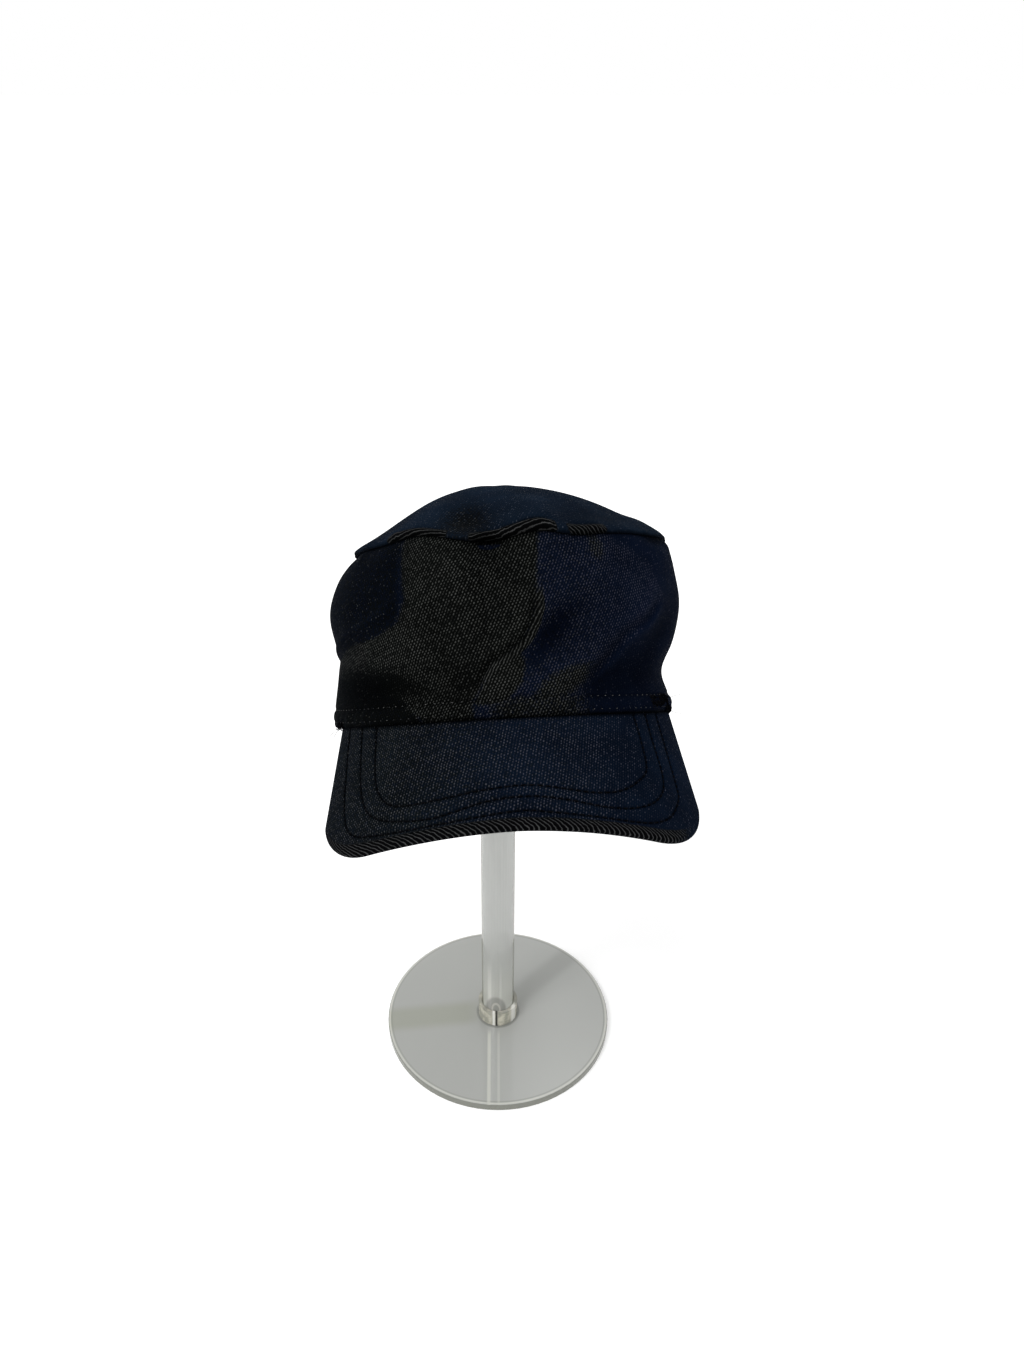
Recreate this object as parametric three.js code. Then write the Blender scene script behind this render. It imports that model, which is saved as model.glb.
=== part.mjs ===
import * as THREE from 'three';
import { mergeVertices } from 'three/addons/utils/BufferGeometryUtils.js';

// A soft peaked sailor cap of dark denim, tipped back on a clear stand.
// Millimetres, +Z up, the peak towards -Y, the origin in the middle of the stand's underside.
// Angles go round the cap in degrees: 0 at the front, 90 at +X, 180 at the back.

// The stand.
const BASE_DIAMETER = 140;
const BASE_THICKNESS = 5;
const BASE_CHAMFER = 0.6;
const ROD_DIAMETER = 20;
const ROD_LENGTH = 322.5;
const COLLAR_WALL = 2;
const COLLAR_HEIGHT = 11;
const HEAD_DIAMETER = 90;
const HEAD_RISE = 15;
const HEAD_RIM = 4;

// The crown: hem ellipse, height of the top seam at the front, sides and back, and the top's dome.
const CROWN_WIDTH = 169;
const CROWN_LENGTH = 196;
const FRONT_HEIGHT = 81;
const SIDE_HEIGHT = 83;
const BACK_HEIGHT = 66;
const HEM_ARCH = 5;
const TOP_RISE = 33.5;
const TOP_LIP = 2.5;
const CLOTH = 2;

// The peak, sewn to the hem over the forehead.
const PEAK_REACH = 67;
const PEAK_LENGTH = 55.5;
const PEAK_SIDE_GAIN = 29;
const PEAK_THICKNESS = 4.6;
const PEAK_CORNER = 28;
const PEAK_DROOP = 44;
const PEAK_DROOP_LOSS = 3.6;
const PEAK_FAN = 3.4;
const PEAK_TURN = 1.4;
const PEAK_TWIST = 2;

// How the cap sits on the stand's head.
const CAP_TILT = 29.3;
const CAP_ROLL = -2.9;
const CAP_FORWARD = 17;
const CAP_ASIDE = 5.4;

// Clearance between pieces that meet.
const GAP = 0.3;
const SEAT_GAP = 0.4;

// Share of the hem's half sizes that the side wall takes at each share of its height.
const SECTIONS = [
  { up: 0.0, front: 1.0, right: 0.972, back: 1.0, left: 1.031 },
  { up: 0.2, front: 0.985, right: 0.965, back: 0.985, left: 1.012 },
  { up: 0.4, front: 0.99, right: 1.002, back: 1.0, left: 1.0 },
  { up: 0.65, front: 1.005, right: 1.03, back: 1.015, left: 1.013 },
  { up: 0.85, front: 0.99, right: 1.015, back: 0.985, left: 0.96 },
  { up: 1.0, front: 0.945, right: 0.985, back: 0.92, left: 0.855 },
];

// Dents of the side wall. depth is a share of the hem's half width, inwards; tall and up are shares
// of the wall's height; wide is in degrees; lean is how far the dent turns round in one wall height.
const WALL_DENTS = [
  { angle: 80, up: 0.24, depth: 0.045, wide: 24, tall: 0.09, lean: 0 },
  { angle: 40, up: 0.27, depth: 0.028, wide: 8, tall: 0.17, lean: 70 },
  { angle: 15, up: 0.46, depth: 0.024, wide: 5, tall: 0.13, lean: 32 },
  { angle: 1, up: 0.36, depth: -0.02, wide: 5, tall: 0.16, lean: 40 },
  { angle: -5, up: 0.95, depth: 0.03, wide: 6, tall: 0.06, lean: 0 },
  { angle: -26, up: 0.55, depth: -0.012, wide: 8, tall: 0.25, lean: 10 },
  { angle: -43, up: 0.72, depth: 0.022, wide: 7, tall: 0.18, lean: -14 },
  { angle: -57, up: 0.14, depth: 0.03, wide: 15, tall: 0.08, lean: 60 },
  { angle: -100, up: 0.32, depth: 0.02, wide: 14, tall: 0.12, lean: 40 },
  { angle: 125, up: 0.42, depth: 0.03, wide: 12, tall: 0.14, lean: -60 },
  { angle: 168, up: 0.3, depth: 0.04, wide: 16, tall: 0.12, lean: 30 },
  { angle: 205, up: 0.6, depth: 0.035, wide: 13, tall: 0.14, lean: -50 },
];

// Waves of the top seam: rise is a share of the front height, wide is in degrees.
const SEAM_WAVES = [
  { angle: -27, rise: 0.03, wide: 9 },
  { angle: -6, rise: -0.028, wide: 9 },
  { angle: 12, rise: 0.02, wide: 6 },
  { angle: 24, rise: -0.015, wide: 6 },
  { angle: 64, rise: -0.005, wide: 14 },
];

// Dents of the top panel: out is the share of the way from its middle to its seam, depth a share of
// the panel's rise, wide in degrees and long in shares of the way out.
const TOP_DENTS = [
  { angle: -18, out: 0.86, depth: 0.07, wide: 13, long: 0.1 },
  { angle: 10, out: 0.9, depth: -0.04, wide: 9, long: 0.08 },
  { angle: 52, out: 0.8, depth: 0.06, wide: 16, long: 0.12 },
  { angle: -75, out: 0.75, depth: 0.05, wide: 18, long: 0.14 },
  { angle: 150, out: 0.7, depth: 0.09, wide: 24, long: 0.16 },
  { angle: 215, out: 0.78, depth: 0.07, wide: 20, long: 0.14 },
];

// Powers that shape the dome of the top panel and the short upright edge round it.
const DOME_POWER = 1.9;
const LIP_POWER = 24;
const SIDE_GAIN_POWER = 1.8;

// Counts of facets.
const AROUND = 84;
const WALL_ROWS = 14;
const TOP_SHARES = [0, 0.2, 0.4, 0.6, 0.77, 0.89, 0.965, 1];
const PEAK_COLUMNS = 40;
const PEAK_ROWS = 7;
const EDGE_ROWS = 3;
const BASE_SIDES = 72;
const ROD_SIDES = 36;
const HEAD_SIDES = 40;
const HEAD_RINGS = 6;

const WELD_TOLERANCE = 1e-4;
const SLOPE_STEP = 1e-3;
const FULL_TURN = 360;

const radians = THREE.MathUtils.degToRad;

// Smooth bump of height 1 around 0, for an offset counted in widths.
function bump(offset) {
  return Math.exp(-0.5 * offset * offset);
}

// Shortest turn from one angle to another, in degrees.
function turn(from, to) {
  return THREE.MathUtils.euclideanModulo(to - from + FULL_TURN / 2, FULL_TURN) - FULL_TURN / 2;
}

// Smooth curve through the section rows, for one of their columns.
function sectionShare(column, up) {
  const last = SECTIONS.length - 2;
  const after = SECTIONS.findIndex((row) => row.up > up);
  const k = after < 0 ? last : Math.min(Math.max(after - 1, 0), last);
  const [before, low, high, beyond] = [k - 1, k, k + 1, k + 2].map(
    (index) => SECTIONS[THREE.MathUtils.clamp(index, 0, last + 1)],
  );
  const span = high.up - low.up;
  const slopeLow = (high[column] - before[column]) / (high.up - before.up);
  const slopeHigh = (beyond[column] - low[column]) / (beyond.up - low.up);
  const t = (up - low.up) / span;
  const [t2, t3] = [t * t, t * t * t];
  return (
    low[column] * (2 * t3 - 3 * t2 + 1) +
    high[column] * (3 * t2 - 2 * t3) +
    slopeLow * span * (t3 - 2 * t2 + t) +
    slopeHigh * span * (t3 - t2)
  );
}

// Weights of front, right, back and left at an angle; they add up to 1.
function quarters(angle) {
  const ahead = Math.cos(radians(angle));
  const aside = Math.sin(radians(angle));
  return {
    front: Math.max(ahead, 0) ** 2,
    right: Math.max(aside, 0) ** 2,
    back: Math.max(-ahead, 0) ** 2,
    left: Math.max(-aside, 0) ** 2,
  };
}

function seamHeight(angle) {
  const weight = quarters(angle);
  const level =
    FRONT_HEIGHT * weight.front + SIDE_HEIGHT * (weight.right + weight.left) + BACK_HEIGHT * weight.back;
  const wave = SEAM_WAVES.reduce((sum, row) => sum + row.rise * bump(turn(row.angle, angle) / row.wide), 0);
  return level + wave * FRONT_HEIGHT;
}

function hemHeight(angle) {
  return HEM_ARCH * quarters(angle).front;
}

// Point of the side wall's outer face.
function wallPoint(angle, up) {
  const weight = quarters(angle);
  const share = Object.keys(weight).reduce((sum, side) => sum + weight[side] * sectionShare(side, up), 0);
  const dent = WALL_DENTS.reduce((sum, row) => {
    const across = turn(row.angle + row.lean * (up - row.up), angle) / row.wide;
    return sum + row.depth * bump(across) * bump((up - row.up) / row.tall);
  }, 0);
  const size = share - dent;
  return new THREE.Vector3(
    (CROWN_WIDTH / 2) * size * Math.sin(radians(angle)),
    (-CROWN_LENGTH / 2) * size * Math.cos(radians(angle)),
    THREE.MathUtils.lerp(hemHeight(angle), seamHeight(angle), up),
  );
}

// Level outward direction of the wall, at right angles to its course round the cap.
function wallOutward(angle, up) {
  const along = wallPoint(angle + SLOPE_STEP, up).sub(wallPoint(angle - SLOPE_STEP, up));
  return new THREE.Vector3(along.y, -along.x, 0).normalize();
}

// Point of the top panel's outer face, out counted from its middle to its seam.
function topPoint(angle, out) {
  const rim = wallPoint(angle, 1);
  const middle = (FRONT_HEIGHT + 2 * SIDE_HEIGHT + BACK_HEIGHT) / 4;
  const dent = TOP_DENTS.reduce((sum, row) => {
    return sum + row.depth * bump(turn(row.angle, angle) / row.wide) * bump((out - row.out) / row.long);
  }, 0);
  const dome = TOP_RISE * (1 - out ** DOME_POWER - dent * (1 - out ** LIP_POWER));
  const lip = TOP_LIP * (1 - out ** LIP_POWER);
  const height = THREE.MathUtils.lerp(middle, rim.z, out * out) + dome + lip + GAP;
  return new THREE.Vector3(rim.x * out, rim.y * out, height);
}

// Outward direction of the top panel's face.
function topOutward(angle, out) {
  const inner = Math.max(out - SLOPE_STEP, SLOPE_STEP);
  const radial = topPoint(angle, inner + SLOPE_STEP).sub(topPoint(angle, inner));
  const along = topPoint(angle + SLOPE_STEP, inner).sub(topPoint(angle - SLOPE_STEP, inner));
  return radial.cross(along).normalize();
}

// Direction of the peak's rulings at a share of the way from its middle to its ends.
function peakDirection(side) {
  const droop = radians(PEAK_DROOP + PEAK_TWIST * side - PEAK_DROOP_LOSS * side * side);
  const fan = radians(PEAK_FAN * side + PEAK_TURN);
  return new THREE.Vector3(
    Math.sin(fan) * Math.cos(droop),
    -Math.cos(fan) * Math.cos(droop),
    -Math.sin(droop),
  );
}

// Seam line of the peak, just under the hem.
function peakSeam(side) {
  const point = wallPoint(PEAK_REACH * side, 0);
  point.z -= GAP;
  return point;
}

// Upward direction of the peak's face.
function peakOutward(side) {
  const along = peakSeam(side + SLOPE_STEP).sub(peakSeam(side - SLOPE_STEP));
  return along.cross(peakDirection(side)).negate().normalize();
}

// Distance across the flat peak from a ruling to the one at the peak's end.
function distanceToEnd(side) {
  const along = peakSeam(1).sub(peakSeam(1 - SLOPE_STEP)).divideScalar(SLOPE_STEP);
  const rule = peakDirection(1);
  const across = along.addScaledVector(rule, -along.dot(rule)).length();
  return across * (1 - Math.abs(side));
}

// Length of the peak along a ruling, with its rounded corners.
function peakLength(side) {
  const full = PEAK_LENGTH + PEAK_SIDE_GAIN * Math.abs(side) ** SIDE_GAIN_POWER;
  const into = Math.max(PEAK_CORNER - distanceToEnd(side), 0) / PEAK_CORNER;
  return full - PEAK_CORNER * (1 - Math.sqrt(1 - into * into));
}

// Share of full thickness at a distance from a rounded edge.
function edgeRound(distance) {
  const into = Math.max(1 - distance / (PEAK_THICKNESS / 2), 0);
  return Math.sqrt(Math.max(1 - into * into, 0));
}

// Closed body from rows of points: each row joins the next, and the last row the first.
// Where around is set, each row closes on itself too.
function skin(rows, around) {
  const columns = rows[0].length;
  const positions = rows.flat().flatMap((point) => point.toArray());
  const geometry = new THREE.BufferGeometry();
  geometry.setAttribute('position', new THREE.Float32BufferAttribute(positions, 3));
  const indices = [];
  const lastColumn = around ? columns : columns - 1;
  for (let row = 0; row < rows.length; row += 1) {
    for (let column = 0; column < lastColumn; column += 1) {
      const next = (column + 1) % columns;
      const rowAbove = (row + 1) % rows.length;
      const a = row * columns + column;
      const b = row * columns + next;
      const c = rowAbove * columns + next;
      const d = rowAbove * columns + column;
      indices.push(a, b, c, a, c, d);
    }
  }
  geometry.setIndex(indices);
  return weld(geometry);
}

// Joins equal points and drops the faces that close up with them.
function weld(geometry) {
  geometry.deleteAttribute('normal');
  geometry.deleteAttribute('uv');
  const welded = mergeVertices(geometry, WELD_TOLERANCE);
  const source = Array.from(welded.getIndex().array);
  const kept = [];
  for (let face = 0; face < source.length; face += 3) {
    const [a, b, c] = source.slice(face, face + 3);
    if (a !== b && b !== c && c !== a) {
      kept.push(a, b, c);
    }
  }
  welded.setIndex(kept);
  welded.computeVertexNormals();
  return welded;
}

function anglesAround() {
  return Array.from({ length: AROUND }, (_, k) => (FULL_TURN * k) / AROUND);
}

function crownSideGeometry() {
  const shares = Array.from({ length: WALL_ROWS + 1 }, (_, k) => k / WALL_ROWS);
  const outer = shares.map((up) => anglesAround().map((angle) => wallPoint(angle, up)));
  const inner = shares.map((up) =>
    anglesAround().map((angle) => wallPoint(angle, up).addScaledVector(wallOutward(angle, up), -CLOTH)),
  );
  return skin([...outer, ...inner.reverse()], true);
}

function crownTopGeometry() {
  const outer = TOP_SHARES.map((out) => anglesAround().map((angle) => topPoint(angle, out)));
  const inner = TOP_SHARES.map((out) =>
    anglesAround().map((angle) => {
      const inward = out === 1 ? wallOutward(angle, 1) : topOutward(angle, out);
      const pole = topOutward(0, 0);
      return topPoint(angle, out).addScaledVector(out === 0 ? pole : inward, -CLOTH);
    }),
  );
  return skin([...inner, ...outer.reverse()], true);
}

function peakGeometry() {
  const sides = Array.from({ length: PEAK_COLUMNS + 1 }, (_, k) => {
    return Math.sin(radians(90 * ((2 * k) / PEAK_COLUMNS - 1)));
  });
  const edge = PEAK_THICKNESS / 2;
  const rowCount = PEAK_ROWS + EDGE_ROWS;
  // Distance along a ruling for a row: even steps first, then closer ones round the front edge.
  const distance = (side, row) => {
    const length = peakLength(side);
    if (row <= PEAK_ROWS) {
      return ((length - edge) * row) / PEAK_ROWS;
    }
    return length - edge * (1 - Math.sin(radians((90 * (row - PEAK_ROWS)) / EDGE_ROWS)));
  };
  const face = (side, row, depth) => {
    const along = distance(side, row);
    const round = edgeRound(peakLength(side) - along) * edgeRound(distanceToEnd(side));
    const middle = peakSeam(side)
      .addScaledVector(peakDirection(side), along)
      .addScaledVector(peakOutward(side), -edge);
    return middle.addScaledVector(peakOutward(side), depth * edge * round);
  };
  const upper = [];
  const lower = [];
  for (let row = 1; row <= rowCount; row += 1) {
    upper.push(sides.map((side) => face(side, row, 1)));
    lower.push(sides.map((side) => face(side, row, -1)));
  }
  const seam = sides.map((side) => peakSeam(side));
  const tuck = sides.map((side) => {
    const inset = CLOTH * edgeRound(distanceToEnd(side));
    return peakSeam(side).addScaledVector(wallOutward(PEAK_REACH * side, 0), -inset);
  });
  return skin([tuck, ...lower, ...upper.slice(0, -1).reverse(), seam], false);
}

// A turned piece from its outline, pairs of radius and height that start and end on the axis.
function turned(outline, sides) {
  const geometry = new THREE.LatheGeometry(
    outline.map(([radius, height]) => new THREE.Vector2(radius, height)),
    sides,
  );
  geometry.rotateX(Math.PI / 2);
  return weld(geometry);
}

function baseGeometry() {
  const radius = BASE_DIAMETER / 2;
  return turned(
    [
      [0, 0],
      [radius - BASE_CHAMFER, 0],
      [radius, BASE_CHAMFER],
      [radius, BASE_THICKNESS - BASE_CHAMFER],
      [radius - BASE_CHAMFER, BASE_THICKNESS],
      [0, BASE_THICKNESS],
    ],
    BASE_SIDES,
  );
}

function rodGeometry() {
  const radius = ROD_DIAMETER / 2;
  return turned(
    [
      [0, 0],
      [radius, 0],
      [radius, ROD_LENGTH],
      [0, ROD_LENGTH],
    ],
    ROD_SIDES,
  );
}

function collarGeometry() {
  const hole = ROD_DIAMETER / 2 + GAP;
  const radius = hole + COLLAR_WALL;
  return turned(
    [
      [hole, 0],
      [radius, 0],
      [radius, COLLAR_HEIGHT],
      [hole, COLLAR_HEIGHT],
      [hole, 0],
    ],
    ROD_SIDES,
  );
}

// Height of the head's dome above its rim, at a distance from the stand's axis.
function headHeight(distance) {
  const rim = HEAD_DIAMETER / 2;
  const sphere = (rim * rim + HEAD_RISE * HEAD_RISE) / (2 * HEAD_RISE);
  return Math.sqrt(sphere * sphere - distance * distance) - sphere + HEAD_RISE;
}

function headGeometry() {
  const rim = HEAD_DIAMETER / 2;
  const dome = Array.from({ length: HEAD_RINGS + 1 }, (_, k) => {
    const distance = rim * (1 - k / HEAD_RINGS);
    return [distance, HEAD_RIM + headHeight(distance)];
  });
  return turned([[0, 0], [rim, 0], ...dome], HEAD_SIDES);
}

function cloth(colour) {
  return new THREE.MeshStandardMaterial({ color: colour, roughness: 0.92, metalness: 0 });
}

function clear(colour) {
  return new THREE.MeshStandardMaterial({
    color: colour,
    roughness: 0.08,
    metalness: 0,
    transparent: true,
    opacity: 0.5,
  });
}

function piece(name, geometry, material) {
  const mesh = new THREE.Mesh(geometry, material);
  mesh.name = name;
  return mesh;
}

const stand = new THREE.Group();
const base = piece('stand_base', baseGeometry(), clear('#b4b8b4'));
const rod = piece('stand_rod', rodGeometry(), clear('#bcc0be'));
rod.position.z = BASE_THICKNESS + GAP;
const collar = piece('stand_collar', collarGeometry(), clear('#c4c6c0'));
collar.position.z = BASE_THICKNESS + GAP;
const head = piece('stand_head', headGeometry(), clear('#bcc0be'));
head.position.z = rod.position.z + ROD_LENGTH + GAP;
stand.add(base, rod, collar, head);

const cap = new THREE.Group();
cap.add(piece('crown_side', crownSideGeometry(), cloth('#15171c')));
cap.add(piece('crown_top', crownTopGeometry(), cloth('#141b27')));
cap.add(piece('peak', peakGeometry(), cloth('#171a22')));
cap.rotation.set(-radians(CAP_TILT), radians(CAP_ROLL), 0, 'XYZ');
cap.position.set(CAP_ASIDE, -CAP_FORWARD, 0);

// Height that sets the crown's cloth down on the stand's head: the most that any point of its
// faces, corners and middles alike, needs to clear the dome under it.
function seatHeight() {
  const headRim = head.position.z + HEAD_RIM;
  let needed = 0;
  cap.updateMatrixWorld(true);
  for (const mesh of cap.children) {
    const position = mesh.geometry.getAttribute('position');
    const index = mesh.geometry.getIndex().array;
    for (let face = 0; face < index.length; face += 3) {
      const corners = [0, 1, 2].map((k) => {
        return mesh.localToWorld(new THREE.Vector3().fromBufferAttribute(position, index[face + k]));
      });
      const middles = corners.map((corner, k) => corner.clone().lerp(corners[(k + 1) % 3], 0.5));
      for (const point of [...corners, ...middles]) {
        const distance = Math.hypot(point.x, point.y);
        if (distance < HEAD_DIAMETER / 2) {
          needed = Math.max(needed, headRim + headHeight(distance) + SEAT_GAP - point.z);
        }
      }
    }
  }
  return needed;
}

cap.position.z = seatHeight();

const cappedStand = new THREE.Group();
cappedStand.add(stand, cap);

export default cappedStand;
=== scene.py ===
"""Looks of a soft peaked denim cap on its clear stand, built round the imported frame.

Lengths are millimetres until a mesh is made, and metres from there on.
Angles go round the cap in degrees: 0 at the front, 90 at +X.
"""

import bpy
import numpy as np
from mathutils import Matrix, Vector


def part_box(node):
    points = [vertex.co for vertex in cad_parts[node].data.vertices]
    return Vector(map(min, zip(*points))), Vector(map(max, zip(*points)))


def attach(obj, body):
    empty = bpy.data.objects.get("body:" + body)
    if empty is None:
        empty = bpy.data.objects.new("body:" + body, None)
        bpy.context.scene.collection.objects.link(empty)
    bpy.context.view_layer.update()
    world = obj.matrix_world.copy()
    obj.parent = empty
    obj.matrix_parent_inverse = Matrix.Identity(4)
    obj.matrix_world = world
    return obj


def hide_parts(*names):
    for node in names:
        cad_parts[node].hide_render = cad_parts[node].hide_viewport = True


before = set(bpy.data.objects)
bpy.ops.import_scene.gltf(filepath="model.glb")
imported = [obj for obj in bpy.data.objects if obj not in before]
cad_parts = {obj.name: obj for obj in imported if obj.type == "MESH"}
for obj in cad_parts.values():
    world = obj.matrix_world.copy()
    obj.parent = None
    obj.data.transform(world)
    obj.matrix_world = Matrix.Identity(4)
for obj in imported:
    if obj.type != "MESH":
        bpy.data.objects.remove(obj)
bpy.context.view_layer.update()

MM = 0.001

# The cap's main forms, as in the part's source. Only the peak's fan and its right corner differ a little.
CROWN_WIDTH = 169
CROWN_LENGTH = 196
FRONT_HEIGHT = 81
SIDE_HEIGHT = 83
BACK_HEIGHT = 66
HEM_ARCH = 5
TOP_RISE = 33.5
TOP_LIP = 2.5
CLOTH = 2.0
PEAK_REACH = 67
PEAK_LENGTH = 55.5
PEAK_SIDE_GAIN = 29
PEAK_THICKNESS = 4.6
PEAK_CORNER = 28
PEAK_DROOP = 44
PEAK_DROOP_LOSS = 3.6
PEAK_FAN = 4.0
RIGHT_CORNER_GAIN = 5
PEAK_TURN = 1.4
PEAK_TWIST = 2
CAP_TILT = 29.3
CAP_ROLL = -2.9
CAP_FORWARD = 17
CAP_ASIDE = 5.4
GAP = 0.3
DOME_POWER = 1.9
LIP_POWER = 24
SIDE_GAIN_POWER = 1.8
COARSE_AROUND = 84

# up, then the shares of the hem's half sizes at the front, right, back and left.
SECTIONS = np.array([
    (0.0, 1.0, 0.972, 1.0, 1.031),
    (0.2, 0.985, 0.965, 0.985, 1.012),
    (0.4, 0.99, 1.002, 1.0, 1.0),
    (0.65, 1.005, 1.03, 1.015, 1.013),
    (0.85, 0.99, 1.015, 0.985, 0.96),
    (1.0, 0.945, 0.985, 0.92, 0.855),
])

# Dents of the side wall: angle, up, depth share, wide, tall, lean.
WALL_DENTS = (
    (80, 0.24, 0.045, 24, 0.09, 0),
    (40, 0.27, 0.028, 8, 0.17, 70),
    (15, 0.46, 0.024, 5, 0.13, 32),
    (1, 0.36, -0.02, 5, 0.16, 40),
    (-5, 0.95, 0.03, 6, 0.06, 0),
    (-26, 0.55, -0.012, 8, 0.25, 10),
    (-43, 0.72, 0.022, 7, 0.18, -14),
    (-57, 0.14, 0.03, 15, 0.08, 60),
    (-100, 0.32, 0.02, 14, 0.12, 40),
    (125, 0.42, 0.03, 12, 0.14, -60),
    (168, 0.3, 0.04, 16, 0.12, 30),
    (205, 0.6, 0.035, 13, 0.14, -50),
)
# Waves of the top seam: angle, rise share, wide.
SEAM_WAVES = ((-27, 0.03, 9), (-6, -0.028, 9), (12, 0.02, 6), (24, -0.015, 6), (64, -0.005, 14))
# Dents of the top panel: angle, out, depth share, wide, long.
TOP_DENTS = (
    (-18, 0.86, 0.07, 13, 0.1),
    (10, 0.9, -0.04, 9, 0.08),
    (52, 0.8, 0.06, 16, 0.12),
    (-75, 0.75, 0.05, 18, 0.14),
    (150, 0.7, 0.09, 24, 0.16),
    (215, 0.78, 0.07, 20, 0.14),
)

# Finer folds of the side wall: angle, up, millimetres outwards, wide, tall, lean.
WALL_FOLDS = (
    (8, 0.58, 1.0, 3.5, 0.14, 12),
    (13, 0.46, -1.6, 4.5, 0.13, 47),
    (-1.5, 0.17, 0.8, 4.0, 0.07, 20),
    (-14, 0.2, -1.2, 5.0, 0.09, 20),
    (-82, 0.1, 1.7, 16, 0.1, 0),
    (16, 0.19, 1.4, 5.5, 0.08, 30),
    (34, 0.17, -2.2, 12, 0.06, 24),
    (44, 0.5, 1.2, 6, 0.17, 46),
    (58, 0.42, -1.2, 5, 0.12, 46),
    (60, 0.9, 1.0, 6, 0.05, 0),
    (-47, 0.19, -1.8, 14, 0.06, -40),
    (-40, 0.42, 1.2, 12, 0.1, -24),
    (-34, 0.76, -1.3, 4, 0.15, -6),
    (-14, 0.7, 0.9, 5, 0.2, 6),
    (-21, 0.45, -0.7, 4, 0.2, 14),
    (27, 0.8, 0.8, 4, 0.12, 18),
    (84, 0.62, 1.1, 9, 0.12, -30),
    (-84, 0.68, 1.2, 9, 0.14, 24),
    (104, 0.5, -1.3, 8, 0.2, 50),
    (140, 0.66, 1.4, 9, 0.13, -44),
    (180, 0.55, -1.6, 11, 0.12, 36),
    (200, 0.28, 1.3, 9, 0.1, 60),
    (228, 0.42, -1.4, 8, 0.16, -36),
    (252, 0.62, 1.0, 7, 0.15, 40),
)
# Finer folds of the top panel: angle, out, millimetres up, wide, long.
TOP_FOLDS = (
    (-12, 0.8, -1.6, 8, 0.07),
    (-40, 0.36, 1.5, 60, 0.22),
    (-26, 0.72, 0.9, 9, 0.08),
    (6, 0.76, 0.8, 10, 0.06),
    (34, 0.84, -1.0, 9, 0.06),
    (66, 0.86, 1.2, 9, 0.06),
    (20, 0.72, 1.0, 5, 0.16, -30),
    (2, 0.6, 0.7, 7, 0.14, 40),
    (-30, 0.6, -0.8, 10, 0.12, 30),
    (92, 0.8, -1.2, 12, 0.08),
    (-58, 0.86, -1.1, 10, 0.06),
    (-96, 0.8, 1.2, 12, 0.08),
    (125, 0.62, 1.4, 16, 0.1),
    (176, 0.8, -1.5, 12, 0.09),
    (-140, 0.6, 1.2, 18, 0.1),
)
# Creases of the side wall: runs of (angle, up), with the cloth proud on one side and sunk on the other.
RIDGE = (
    (9.5, 0.78), (9, 0.68), (9, 0.57), (6.5, 0.445), (2, 0.37), (-3, 0.315), (-6.5, 0.245), (-8.2, 0.16),
    (-9.5, 0.1),
)
FRONT_CREASE = ((-6, 0.93), (-5.5, 0.78), (-5.5, 0.66), (-5, 0.55), (-5, 0.44), (-5, 0.385))
RIGHT_FOLD = ((57, 0.66), (50, 0.52), (40, 0.43), (33, 0.3), (24, 0.14))
LEFT_FOLD = ((-96, 0.34), (-70, 0.46), (-50, 0.54), (-38, 0.62), (-30, 0.74))
# run, height in millimetres, width of the proud side, depth of the sunk side, its width.
CREASES = (
    (RIDGE, 1.5, 1.3, 1.9, 1.5),
    (FRONT_CREASE, 0.7, 0.5, 0.5, 0.9),
    (RIGHT_FOLD, 1.0, 1.6, 1.6, 2.4),
    (LEFT_FOLD, 0.9, 1.6, 0.8, 3.0),
)
# Edges of the side wall's tones, as (up, angle): the two edges of the grey-black front, whose split from the
# navy sides is painted reflected light, the pale pillow under the ridge, and the right fold, where the pale
# flecks end.
LEFT_EDGE = (
    (0.0, -26), (0.12, -34), (0.2, -52), (0.34, -80), (0.45, -60), (0.48, -44), (0.54, -34), (0.66, -31),
    (1.0, -34),
)
RIGHT_EDGE = (
    (0.1, -10), (0.16, -8), (0.245, -6), (0.315, -3), (0.37, 2), (0.445, 6.5), (0.57, 9), (0.84, 10),
    (1, 11.5),
)
PILLOW_EDGE = ((0.06, -6), (0.1, 0), (0.2, 4.5), (0.3, 5.5), (0.36, 4), (0.4, -2))
FOLD_EDGE = ((0.14, 24), (0.3, 33), (0.43, 40), (0.52, 50), (0.66, 57), (0.8, 52), (1.0, 36))
# Patches with more or fewer flecks: share, angle, up, wide, tall, lean.
FLECK_PATCHES = (
    (-0.12, -17, 0.42, 7, 0.2, 0),
    (0.4, 16, 0.17, 8, 0.13, 60),
    (0.6, -1, 0.2, 6.5, 0.12, 30),
    (-0.75, -48, 0.22, 18, 0.1, -60),
    (-0.3, -12, 0.2, 4, 0.09, 20),
    (0.3, 29, 0.93, 3.5, 0.09, 0),
)
# Places where the top seam shows a rolled edge: first and last angle, height in millimetres.
SEAM_ROLLS = ((-12, 19, 3.0), (19.5, 37, 2.0), (-44, -15, 1.8))
# Angles of the pit under the top seam and of the seam's notches at the right and the left.
PIT_ANGLE = -4.5
RIGHT_NOTCH = 60
LEFT_NOTCH = -80
# Bar tacks: angle, height over the hem, length along the hem, height of the patch.
TACKS = {
    "left": (-67.5, 2.6, 10.0, 8.0),
    "right": (58.5, 5.4, 25.0, 3.8),
    "right_low": (65.5, 1.0, 8.0, 2.6),
}
# Loose thread ends at the tacks: angle, height over the hem, and the way each one runs.
FRAYS = {
    "left": ((-70, 1.0, (-3.5, -1, -5)), (-71, 3.5, (-3.0, -1, 1.0)), (-70, 0.0, (-1.0, -1, -5))),
    "right": ((66, 6.0, (4.5, -1, 1.5)), (67, 0.0, (4.5, -1, -1.5))),
}
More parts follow.
